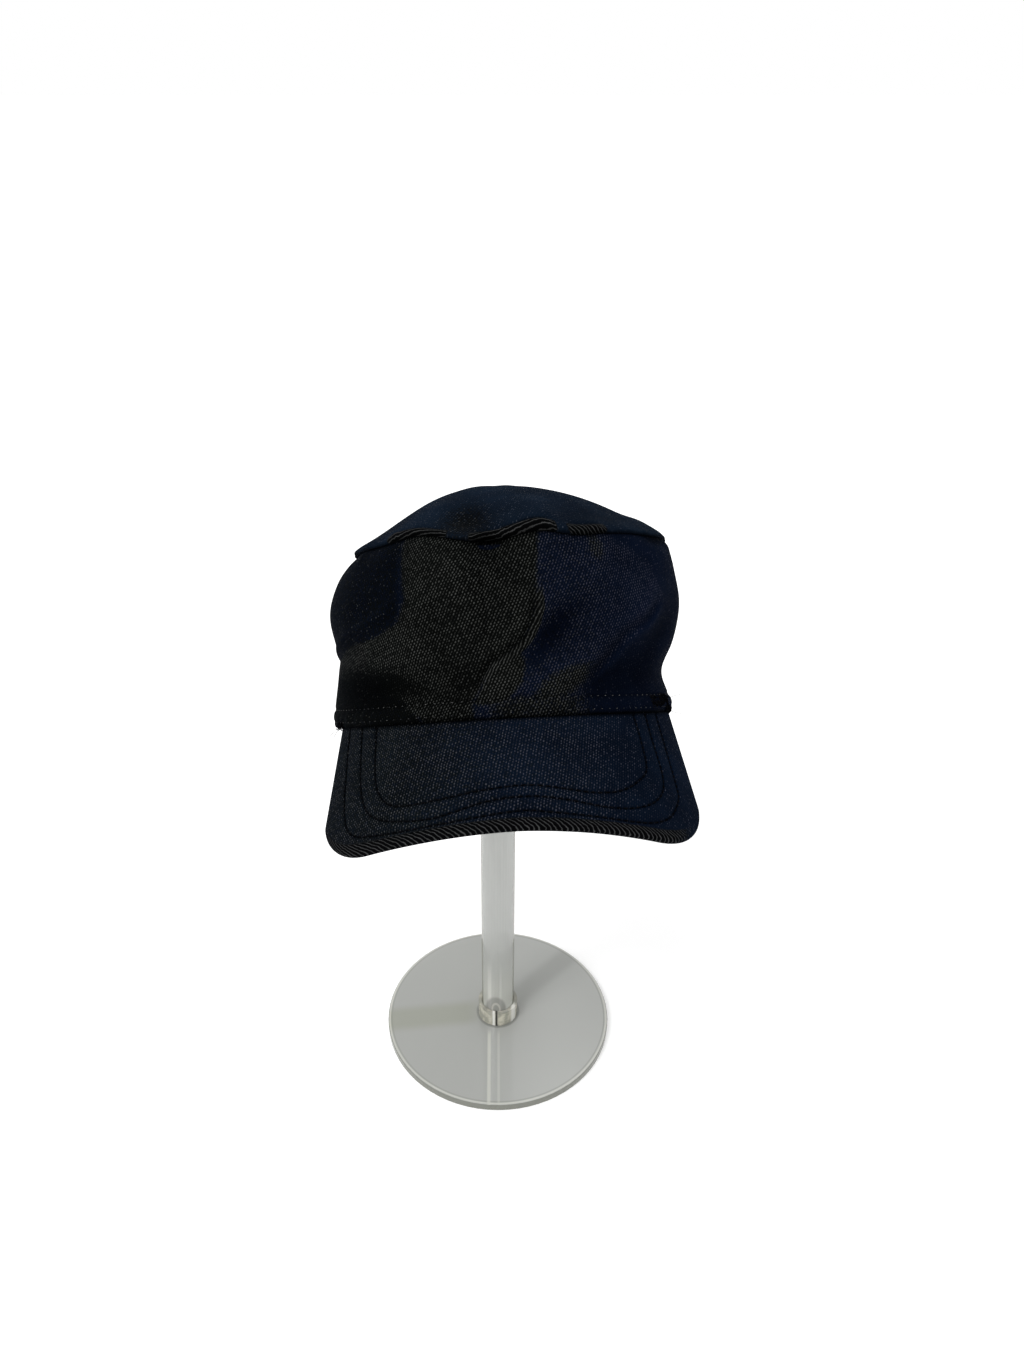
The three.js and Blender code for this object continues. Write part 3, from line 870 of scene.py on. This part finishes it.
def strip_twill(side, along):
    """Bold wales combed along the peak's front edge."""
    fine = np.linspace(-1, 1, 801)
    edge = peak_seam(fine) + peak_length(fine)[:, None] * peak_direction(fine)
    steps = np.linalg.norm(np.diff(edge, axis=0), axis=1)
    lean = np.interp(fine, STRIP_SIDES, STRIP_LEAN)
    turned = np.interp(side, fine, summed(steps * sine(lean[1:])))
    from_edge = peak_length(side) - along
    wales = (turned - from_edge * np.interp(side, fine, cosine(lean))) / STRIP_WALE
    return np.stack([wales, np.interp(side, fine, summed(steps)) / FLOAT_LENGTH, 1 + 0 * wales], -1)


def peak_attributes(side, along, gap):
    strip = strip_share(side, along)
    cloth = twill(peak_flat(side, along)[..., 0], -along, PEAK_LEAN)
    cloth = np.where((strip > 0.5)[..., None], strip_twill(side, along), cloth)
    tone = 0.3 + 0.4 * (1 - ramp(-0.6, 0.1, side)) - 0.3 * ramp(0.2, 0.6, side)
    tone += (1 - tone) * strip
    fleck = 0.68 - 0.38 * ramp(0.2, 0.7, side) - 0.12 * (1 - ramp(-0.8, -0.4, side))
    fleck += (1 - fleck) * strip
    cloth[..., 2] = cloth[..., 2] * strip
    shade = 1 - 0.6 * bump(gap / 0.45) - 0.85 * fall(along / 1.3) - 0.12 * strip
    return cloth, np.stack([tone, fleck, np.clip(shade, 0.15, 1)], -1)


def make_peak(material):
    sides = sine(np.linspace(-90, 90, PEAK_COLUMNS))
    upper_along = peak_rows(PEAK_ROWS, sides)
    lower_along = peak_rows(UNDER_ROWS, sides)
    upper_side = np.broadcast_to(sides, upper_along.shape)
    lower_side = np.broadcast_to(sides, lower_along.shape)
    upper_groove, upper_gap = groove_depth(upper_side, upper_along)
    lower_groove, lower_gap = groove_depth(lower_side, lower_along)
    fade = edge_round(peak_length(upper_side) - upper_along) * edge_round(distance_to_end(upper_side))
    upper = peak_surface(upper_side, upper_along, 1, upper_groove * fade)
    lower = peak_surface(lower_side, lower_along, -1, lower_groove * 0.6)
    seam = peak_seam(sides)[None]
    inset = CLOTH * edge_round(distance_to_end(sides))
    tuck = seam - (inset[:, None] * wall_outward(PEAK_REACH * sides, 0 * sides))[None]
    rows = np.concatenate([tuck, lower, upper[:-1][::-1], seam])
    zero = np.zeros((1, PEAK_COLUMNS))
    edge_cloth, edge_look = peak_attributes(sides[None], zero, zero + 9)
    lower_cloth, lower_look = peak_attributes(lower_side, lower_along, lower_gap)
    upper_cloth, upper_look = peak_attributes(upper_side, upper_along, upper_gap)
    cloth = np.concatenate([edge_cloth, lower_cloth, upper_cloth[:-1][::-1], edge_cloth])
    look = np.concatenate([edge_look, lower_look, upper_look[:-1][::-1], edge_look])
    quads = closed_quads(len(rows), PEAK_COLUMNS, False)
    obj = make_object("cloth_peak", to_frame(rows), quads, material, {"twill": cloth, "look": look})
    place(obj, "peak_denim", "peak")


THREAD_SIDES = 6
CAPSULE_RINGS = ((0.0, 0.0), (0.1, 0.62), (0.3, 1.0), (0.7, 1.0), (0.9, 0.62), (1.0, 0.0))


def stitch_object(name, starts, ends, lifts, radius, material, slot):
    """Stitches as short rounded thread lengths, joined in one mesh. Points are cap millimetres."""
    along = ends - starts
    length = np.linalg.norm(along, axis=1, keepdims=True)
    along = along / length
    aside = unit(np.cross(along, lifts))
    lift = np.cross(aside, along)
    around = np.arange(THREAD_SIDES) * 2 * np.pi / THREAD_SIDES
    points = []
    for share, size in CAPSULE_RINGS:
        crown = 0.35 * radius * np.sin(np.pi * share)
        centre = starts + along * length * share + lift * crown
        for turn_at in around:
            points.append(centre + radius * size * (aside * np.cos(turn_at) + 0.8 * lift * np.sin(turn_at)))
    rings = len(CAPSULE_RINGS)
    cloud = np.stack(points, 1).reshape(-1, 3)
    quads = grid_quads(rings, THREAD_SIDES, True)
    per = rings * THREAD_SIDES
    faces = np.concatenate([quads + k * per for k in range(len(starts))])
    place(make_object(name, to_frame(cloud), [faces], material), slot)


def peak_stitches(name, row, facing, material):
    run = row_run(row, FINE_STEP)
    pitch = int(PEAK_PITCH / FINE_STEP)
    steps = np.arange(0, len(run) - pitch, pitch)
    ends = np.minimum(steps + int(PEAK_PITCH * PEAK_SHOWN / FINE_STEP), len(run) - 1)
    sunk = np.full(len(steps), GROOVE - THREAD_RISE)
    first, second = (peak_surface(*run[at].T, facing, sunk) for at in (steps, ends))
    lifts = facing * peak_outward(run[steps, 0])
    stitch_object(name, first, second, lifts, PEAK_THREAD, material, "peak_denim")


def hem_stitches(name, level, long, radius, material):
    half = arc_length(180.0)
    starts = np.linspace(-half, half, int(2 * half / HEM_PITCH), endpoint=False)
    angles, nexts = angle_at(starts), angle_at(starts + long)

    def lay(spots):
        relief = wall_relief(spots, level / seam_height(spots))
        return wall_spot(spots, level, (relief + HEM_SUNK * radius)[:, None])

    lifts = wall_outward(angles, level / seam_height(angles))
    stitch_object(name, lay(angles), lay(nexts), lifts, radius, material, "crown_denim")


def strand(points, radius):
    """Tube along a run of points: its points and quads."""
    path = smooth_run(points, 0.35)
    along = unit(np.gradient(path, axis=0))
    guide = np.where(np.abs(along[:, 2:3]) > 0.9, [[1.0, 0, 0]], [[0, 0, 1.0]])
    aside = unit(np.cross(along, guide))
    lift = np.cross(aside, along)
    ring = np.arange(THREAD_SIDES) * 2 * np.pi / THREAD_SIDES
    from_end = np.minimum(np.arange(len(path)), np.arange(len(path))[::-1])
    width = radius * np.sqrt(np.clip(from_end + 0.3, 0, 1))
    loops = aside[:, None] * np.cos(ring)[None, :, None] + lift[:, None] * np.sin(ring)[None, :, None]
    cloud = path[:, None] + width[:, None, None] * loops
    return cloud.reshape(-1, 3), grid_quads(len(path), THREAD_SIDES, True)


def join_strands(name, runs, radius, material):
    clouds, faces, first = [], [], 0
    for run in runs:
        cloud, quads = strand(run, radius)
        clouds.append(cloud)
        faces.append(quads + first)
        first += len(cloud)
    obj = make_object(name, to_frame(np.concatenate(clouds)), [np.concatenate(faces)], material)
    place(obj, "crown_denim")


def make_tack(name, tack, material):
    """A bar tack: a mat of short threads that cross each other on the hem."""
    middle, over_hem, long, tall = tack
    degree = np.pi * (CROWN_WIDTH + CROWN_LENGTH) / 4 / 180
    runs = []
    for k in range(int(26 + 3 * long)):
        at = middle + rng.uniform(-0.5, 0.5) * long / degree
        level = over_hem + rng.uniform(-0.5, 0.5) * tall
        reach = rng.uniform(0.8, 2.0)
        lean = rng.uniform(-1.2, 1.2)
        height = rng.uniform(0.2, 1.1)
        ends = []
        for t in (-1, -0.4, 0.4, 1):
            angle = at + t * reach * np.cos(lean) / degree
            level_here = max(level + t * reach * np.sin(lean), -1.5)
            ends.append(wall_spot(angle, level_here, height * (1 - t * t) + 0.1))
        runs.append(ends)
    join_strands(name, runs, 0.2, material)


def make_frays(name, starts, material):
    runs = []
    for angle, over_hem, way in starts:
        base = wall_spot(angle, over_hem, 0.3)
        outward = wall_outward(np.asarray(float(angle)), np.asarray(0.0))
        way = np.asarray(way, float) + 1.2 * outward
        wave = rng.uniform(-0.5, 0.5, (4, 3))
        runs.append([base + (way + wave[k]) * t for k, t in enumerate((0, 0.33, 0.66, 1.0))])
    join_strands(name, runs, 0.11, material)


class Nodes:
    """Short ways to add and join shader nodes."""

    def __init__(self, name):
        self.material = bpy.data.materials.new(name)
        self.material.use_nodes = True
        self.tree = self.material.node_tree
        self.shader = self.tree.nodes["Principled BSDF"]

    def add(self, kind, **settings):
        node = self.tree.nodes.new(kind)
        for key, value in settings.items():
            setattr(node, key, value)
        return node

    def join(self, source, socket):
        """Link an output, or set a number or a colour."""
        if hasattr(source, "is_output"):
            self.tree.links.new(source, socket)
        else:
            socket.default_value = (*source, 1) if isinstance(source, tuple) else source

    def feed(self, node, **inputs):
        for name, source in inputs.items():
            self.join(source, node.inputs[name.replace("_", " ")])
        return node.outputs[0]

    def math(self, operation, *values):
        node = self.add("ShaderNodeMath", operation=operation)
        for value, socket in zip(values, node.inputs):
            self.join(value, socket)
        return node.outputs[0]

    def times(self, a, b):
        return self.math("MULTIPLY", a, b)

    def plus(self, a, b):
        return self.math("ADD", a, b)

    def less(self, a, b):
        return self.math("SUBTRACT", a, b)

    def most(self, a, b):
        return self.math("MAXIMUM", a, b)

    def scaled(self, value, scale, start):
        return self.math("MULTIPLY_ADD", value, scale, start)

    def length(self, x, y):
        return self.math("SQRT", self.plus(self.times(x, x), self.times(y, y)))

    def oval(self, x, y, half_wide, half_tall):
        """Distance from the middle of an oval, 1 on its edge."""
        return self.length(self.math("DIVIDE", x, half_wide), self.math("DIVIDE", y, half_tall))

    def ramp(self, value, low, high):
        node = self.add("ShaderNodeMapRange", interpolation_type="SMOOTHSTEP")
        return self.feed(node, Value=value, From_Min=low, From_Max=high)

    def fall(self, value, low, high):
        return self.less(1.0, self.ramp(value, low, high))

    def line(self, value, middle, half):
        """1 on a thin soft line where the value is at the middle."""
        return self.fall(self.math("ABSOLUTE", self.less(value, middle)), 0.3 * half, half)

    def tent(self, value):
        """1 in the middle of each unit cell and 0 at its borders."""
        offset = self.less(self.times(self.math("FRACT", value), 2.0), 1.0)
        return self.less(1.0, self.math("ABSOLUTE", offset))

    def mix(self, factor, low, high, blend="MIX"):
        node = self.add("ShaderNodeMix", data_type="RGBA", blend_type=blend)
        self.join(factor, node.inputs[0])
        self.join(low, node.inputs[6])
        self.join(high, node.inputs[7])
        return node.outputs[2]

    def layers(self, body, *layers):
        """A colour with others laid over it, each with its share."""
        for share, colour in layers:
            body = self.mix(share, body, colour)
        return body

    def stretch(self, vector, by):
        return self.feed(self.add("ShaderNodeVectorMath", operation="SCALE"), Vector=vector, Scale=by)

    def split(self, vector):
        node = self.add("ShaderNodeSeparateXYZ")
        self.feed(node, Vector=vector)
        return node.outputs

    def attribute(self, name):
        return self.split(self.add("ShaderNodeAttribute", attribute_name=name).outputs["Vector"])

    def place(self):
        return self.add("ShaderNodeTexCoord").outputs["Object"]

    def split_place(self):
        """Object coordinates in millimetres, one output each."""
        return self.split(self.stretch(self.place(), 1 / MM))

    def noise(self, scale, detail=2.0, roughness=0.5):
        node = self.add("ShaderNodeTexNoise")
        self.feed(node, Vector=self.place(), Scale=scale, Detail=detail, Roughness=roughness)
        return node.outputs["Fac"]

    def streaks(self, x, y):
        """Noise that runs on along y and changes with every whole x."""
        vector = self.feed(self.add("ShaderNodeCombineXYZ"), X=self.times(x, 7.31), Y=y)
        node = self.add("ShaderNodeTexNoise", noise_dimensions="2D")
        self.feed(node, Vector=vector, Scale=1.0, Detail=1.0)
        return node.outputs["Fac"]

    def bump(self, height, strength, distance):
        normal = self.feed(self.add("ShaderNodeBump"), Strength=strength, Distance=distance, Height=height)
        self.feed(self.shader, Normal=normal)

    def finish(self, colour, roughness, **values):
        """Link what varies, set what is the same all over, and give the material."""
        self.feed(self.shader, Base_Color=colour, Roughness=roughness, **values)
        return self.material


def denim(name, navy, black, blue_thread, pale_thread):
    """Dark twill with pale broken floats along its wales."""
    nodes = Nodes(name)
    wales, floats, bold = nodes.attribute("twill")
    tone, fleck, shade = nodes.attribute("look")
    uneven = nodes.scaled(nodes.noise(900.0, 2.0), 1.1, -0.55)
    grey = nodes.ramp(nodes.plus(tone, uneven), 0.12, 0.88)
    across = nodes.plus(wales, nodes.scaled(nodes.noise(420.0, 3.0), 0.9, -0.45))
    wale = nodes.math("FLOOR", across)
    ridge = nodes.ramp(nodes.tent(across), nodes.scaled(bold, 0.24, 0.38), 1.0)
    cut = nodes.scaled(fleck, -0.4, 0.74)
    shown = nodes.ramp(nodes.streaks(wale, floats), nodes.less(cut, 0.1), nodes.plus(cut, 0.14))
    stagger = nodes.scaled(wale, 0.37, floats)
    thread = nodes.times(ridge, nodes.most(nodes.ramp(nodes.tent(stagger), 0.1, 0.8), bold))
    steady = nodes.most(nodes.times(fleck, STEADY_FLECKS), nodes.times(bold, 0.85))
    light = nodes.times(thread, nodes.most(shown, steady))
    light = nodes.times(light, nodes.scaled(nodes.noise(160.0, 3.0), 0.8, 0.6))
    patch = nodes.ramp(nodes.noise(38.0, 3.0, 0.6), 0.3, 0.7)
    tint = nodes.mix(patch, (0.72, 0.72, 0.74), (1.25, 1.25, 1.22))
    ground = nodes.mix(1.0, nodes.mix(grey, navy, black), tint, "MULTIPLY")
    ground = nodes.mix(nodes.times(bold, 0.8), ground, (0.001, 0.001, 0.0011))
    cloth = nodes.mix(light, ground, nodes.mix(grey, blue_thread, pale_thread))
    nodes.bump(nodes.plus(thread, nodes.times(nodes.noise(1600.0, 3.0), 0.5)), 0.7, 0.0003)
    return nodes.finish(
        nodes.stretch(cloth, shade), nodes.scaled(thread, -0.12, 0.9),
        Specular_IOR_Level=0.005, Sheen_Weight=0.004, Sheen_Roughness=0.4, Sheen_Tint=(0.2, 0.5, 1.0),
    )


def thread_material(name, low, high):
    """Twisted sewing thread."""
    nodes = Nodes(name)
    twist = nodes.add("ShaderNodeTexWave", wave_type="BANDS", bands_direction="DIAGONAL")
    nodes.feed(twist, Vector=nodes.place(), Scale=900.0, Distortion=1.2)
    nodes.bump(twist.outputs["Fac"], 0.5, 0.0001)
    colour = nodes.mix(nodes.ramp(nodes.noise(700.0), 0.3, 0.7), low, high)
    return nodes.finish(colour, 0.8, Specular_IOR_Level=0.0)


def head_material():
    """Clear acrylic with faint scratches and a slight tint."""
    nodes = Nodes("acrylic_head")
    wear = nodes.ramp(nodes.noise(60.0, 4.0, 0.65), 0.45, 0.8)
    nodes.bump(nodes.noise(25.0, 2.0), 0.05, 0.0004)
    colour = nodes.mix(wear, (0.86, 0.87, 0.86), (0.8256, 0.8352, 0.8256))
    return nodes.finish(colour, nodes.scaled(wear, 0.05, 0.03), IOR=CLEAR_IOR, Transmission_Weight=0.92)


def scratches(nodes):
    """Roughness of clear acrylic that has been handled."""
    return nodes.scaled(nodes.noise(60.0, 4.0), 0.05, 0.03)


def disc_material():
    """Clear disc with its light painted: paler towards +X against the cap's shadow, painted shadows of the
    rod, painted light and dark lines at its rim, the rod's reflection painted as two pale lines, and a
    painted shadow round the collar.
    """
    nodes = Nodes("acrylic_base")
    x, y, _ = nodes.split_place()
    radius = nodes.length(x, y)
    # Painted light: paler towards +X, which evens out the cap's cast shadow there.
    body = nodes.mix(nodes.ramp(x, -20.0, 45.0), (0.345, 0.352, 0.335), (0.42, 0.428, 0.41))
    # Painted shadows of the rod: a grey one behind it to the right, and a beige one beside it to the left.
    painted_shadow_behind = nodes.times(nodes.line(nodes.less(y, x), 0.0, 15.0), nodes.ramp(x, 6.0, 20.0))
    slant = nodes.less(y, nodes.times(x, 0.12))
    painted_shadow_beside = nodes.times(nodes.line(slant, 1.0, 13.0), nodes.ramp(nodes.times(x, -1.0), 6.0, 22.0))
    # Painted light along the rim, with painted dark lines inside it and on its side, for light bent by the
    # edge.
    edge = nodes.times(nodes.line(radius, DISC_RADIUS - 1.1, 0.7), 0.45)
    # Painted reflection of the rod: two pale lines ahead of it.
    painted_streaks = nodes.most(nodes.line(x, -5.4, 1.5), nodes.times(nodes.line(x, 0.4, 1.1), 0.5))
    painted_streaks = nodes.times(painted_streaks, nodes.fall(y, -20.0, -14.0))
    body = nodes.layers(
        body,
        (nodes.times(painted_shadow_behind, 0.5), (0.3, 0.31, 0.29)),
        (nodes.times(painted_shadow_beside, 0.6), (0.27, 0.28, 0.225)),
        (nodes.times(nodes.line(radius, DISC_RADIUS - 2.3, 0.7), 0.35), (0.2, 0.205, 0.18)),
        (nodes.most(edge, nodes.times(painted_streaks, 0.4)), (0.7, 0.7, 0.62)),
        (nodes.ramp(radius, DISC_RADIUS - 0.5, DISC_RADIUS - 0.2), (0.17, 0.175, 0.15)),
        # Painted shadow round the foot of the collar.
        (nodes.times(nodes.line(radius, 12.6, 1.6), 0.6), (0.16, 0.165, 0.15)),
    )
    return nodes.finish(body, scratches(nodes), IOR=CLEAR_IOR, Alpha=0.86)


def rod_material():
    """Clear rod with painted light: painted dark edges along its sides, painted pale streaks up its front,
    and a painted dark foot with a pale arch, where the collar's hollow shows through.
    """
    nodes = Nodes("acrylic_rod")
    x, _, z = nodes.split_place()
    low = nodes.fall(z, ROD_SEEN - 45, ROD_SEEN)
    # Painted light: pale streaks up the front, where the clear rod bends the light.
    painted_streaks = nodes.most(nodes.line(x, -5.2, 1.6), nodes.times(nodes.line(x, 1.6, 1.0), 0.6))
    aside = nodes.less(x, FOOT_ASIDE)
    # Painted shade: a dark foot with a pale arch, the collar's hollow seen through the rod.
    foot = nodes.oval(aside, nodes.less(z, COLLAR_TOP), 6.4, 12.0)
    arch = nodes.oval(aside, nodes.less(z, COLLAR_TOP + 1.0), 2.4, 5.0)
    body = nodes.layers(
        (0.41, 0.42, 0.4),
        (low, (0.64, 0.65, 0.6)),
        (nodes.times(painted_streaks, low), (0.85, 0.85, 0.8)),
        (nodes.times(nodes.fall(foot, 0.85, 1.1), 0.6), (0.2, 0.2, 0.19)),
        (nodes.line(arch, 1.0, 0.3), (0.62, 0.61, 0.55)),
        # Painted dark edges along the rod's sides.
        (nodes.ramp(nodes.math("ABSOLUTE", x), 8.6, 9.9), (0.2, 0.2, 0.15)),
    )
    return nodes.finish(body, scratches(nodes), IOR=CLEAR_IOR, Transmission_Weight=0.3, Alpha=0.8)


def collar_material():
    """Clear ring: cloudy beige, with painted glints on its front and a dark slit down it."""
    nodes = Nodes("acrylic_collar")
    x, y, z = nodes.split_place()
    front = nodes.fall(y, -6.0, -2.0)
    cloudy = nodes.ramp(nodes.noise(260.0, 3.0), 0.35, 0.7)
    # Painted glints: bright lines on the front of the ring.
    painted_glints = nodes.most(nodes.line(x, -2.6, 1.1), nodes.line(x, 9.6, 2.0))
    body = nodes.layers(
        (0.42, 0.42, 0.36),
        (cloudy, (0.78, 0.75, 0.62)),
        (nodes.times(nodes.ramp(z, COLLAR_TOP - 1.2, COLLAR_TOP), 0.5), (0.3, 0.3, 0.27)),
        (nodes.times(painted_glints, front), (0.95, 0.95, 0.9)),
        (nodes.times(nodes.line(x, -0.9, 1.0), front), (0.05, 0.05, 0.045)),
    )
    rough = nodes.scaled(cloudy, 0.1, 0.05)
    return nodes.finish(body, rough, IOR=CLEAR_IOR, Transmission_Weight=0.25, Alpha=0.85)


def floor_material():
    nodes = Nodes("pale_floor")
    colour = nodes.mix(nodes.noise(3.0, 2.0), (0.92, 0.92, 0.92), (0.95, 0.95, 0.95))
    return nodes.finish(
        colour, 0.9, Specular_IOR_Level=0.0, Emission_Color=(1, 1, 1), Emission_Strength=0.16,
    )


def dress_stand():
    shades = {
        "stand_base": disc_material(),
        "stand_rod": rod_material(),
        "stand_collar": collar_material(),
        "stand_head": head_material(),
    }
    for name, material in shades.items():
        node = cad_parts[name]
        node.data.materials.clear()
        node.data.materials.append(material)


def make_floor():
    corners = ((-1, -1), (1, -1), (1, 1), (-1, 1))
    points = np.array([(FLOOR_HALF * x, FLOOR_HALF * y, FLOOR_LEVEL) for x, y in corners])
    make_object("floor", points, [np.array([[0, 1, 2, 3]])], floor_material())


def make_lights():
    world = bpy.data.worlds.new("studio")
    bpy.context.scene.world = world
    world.use_nodes = True
    background = world.node_tree.nodes["Background"]
    background.inputs["Color"].default_value = (1.0, 1.0, 1.0, 1)
    background.inputs["Strength"].default_value = 1.0
    lamp = bpy.data.lights.new("key", "SUN")
    lamp.energy = SUN_STRENGTH
    lamp.angle = np.radians(SUN_SPREAD)
    key = bpy.data.objects.new("key", lamp)
    key.rotation_euler = Vector(SUN_WAY).to_track_quat("-Z", "Y").to_euler()
    bpy.context.scene.collection.objects.link(key)


def make_camera():
    data = bpy.data.cameras.new("camera")
    data.lens = LENS
    data.sensor_width = SENSOR
    data.shift_x = SHIFT
    data.clip_start = 0.01
    camera = bpy.data.objects.new("camera", data)
    camera.location = CAMERA_PLACE
    camera.rotation_euler = (np.radians(CAMERA_TILT), 0.0, 0.0)
    bpy.context.scene.collection.objects.link(camera)
    bpy.context.scene.camera = camera


def make_cap():
    wall = denim(
        "denim_crown",
        navy=(0.0011, 0.0025, 0.0074),
        black=(0.0012, 0.0014, 0.0013),
        blue_thread=(0.03, 0.031, 0.046),
        pale_thread=(0.046, 0.048, 0.045),
    )
    # A lighter, bluer copy of the crown's denim: the top's sheen, painted into its colour.
    sheened_top_denim = denim(
        "denim_top_painted_sheen",
        navy=(0.0028, 0.0058, 0.0115),
        black=(0.0022, 0.0025, 0.0029),
        blue_thread=(0.03, 0.036, 0.05),
        pale_thread=(0.045, 0.046, 0.046),
    )
    visor = denim(
        "denim_peak",
        navy=(0.0015, 0.0037, 0.0092),
        black=(0.0021, 0.003, 0.0034),
        blue_thread=(0.042, 0.044, 0.06),
        pale_thread=(0.054, 0.055, 0.056),
    )
    make_crown_side(wall)
    make_crown_top(sheened_top_denim)
    make_peak(visor)
    black = thread_material("thread_black", (0.0008, 0.0008, 0.001), (0.004, 0.004, 0.005))
    pale = thread_material("thread_pale", (0.02, 0.022, 0.026), (0.1, 0.1, 0.097))
    for name, row in (("outer", ROW_OUTER), ("middle", ROW_MIDDLE), ("inner", ROW_INNER)):
        peak_stitches("stitches_" + name, row, 1, black)
        peak_stitches("stitches_under_" + name, row, -1, black)
    for name, row in HEM_ROWS.items():
        hem_stitches("stitches_hem" + name, *row, pale)
    for name, tack in TACKS.items():
        make_tack("tack_" + name, tack, black)
    for name, starts in FRAYS.items():
        make_frays("frays_" + name, starts, black)


make_camera()
make_floor()
make_lights()
dress_stand()
make_cap()
bpy.context.scene.view_settings.view_transform = "Standard"
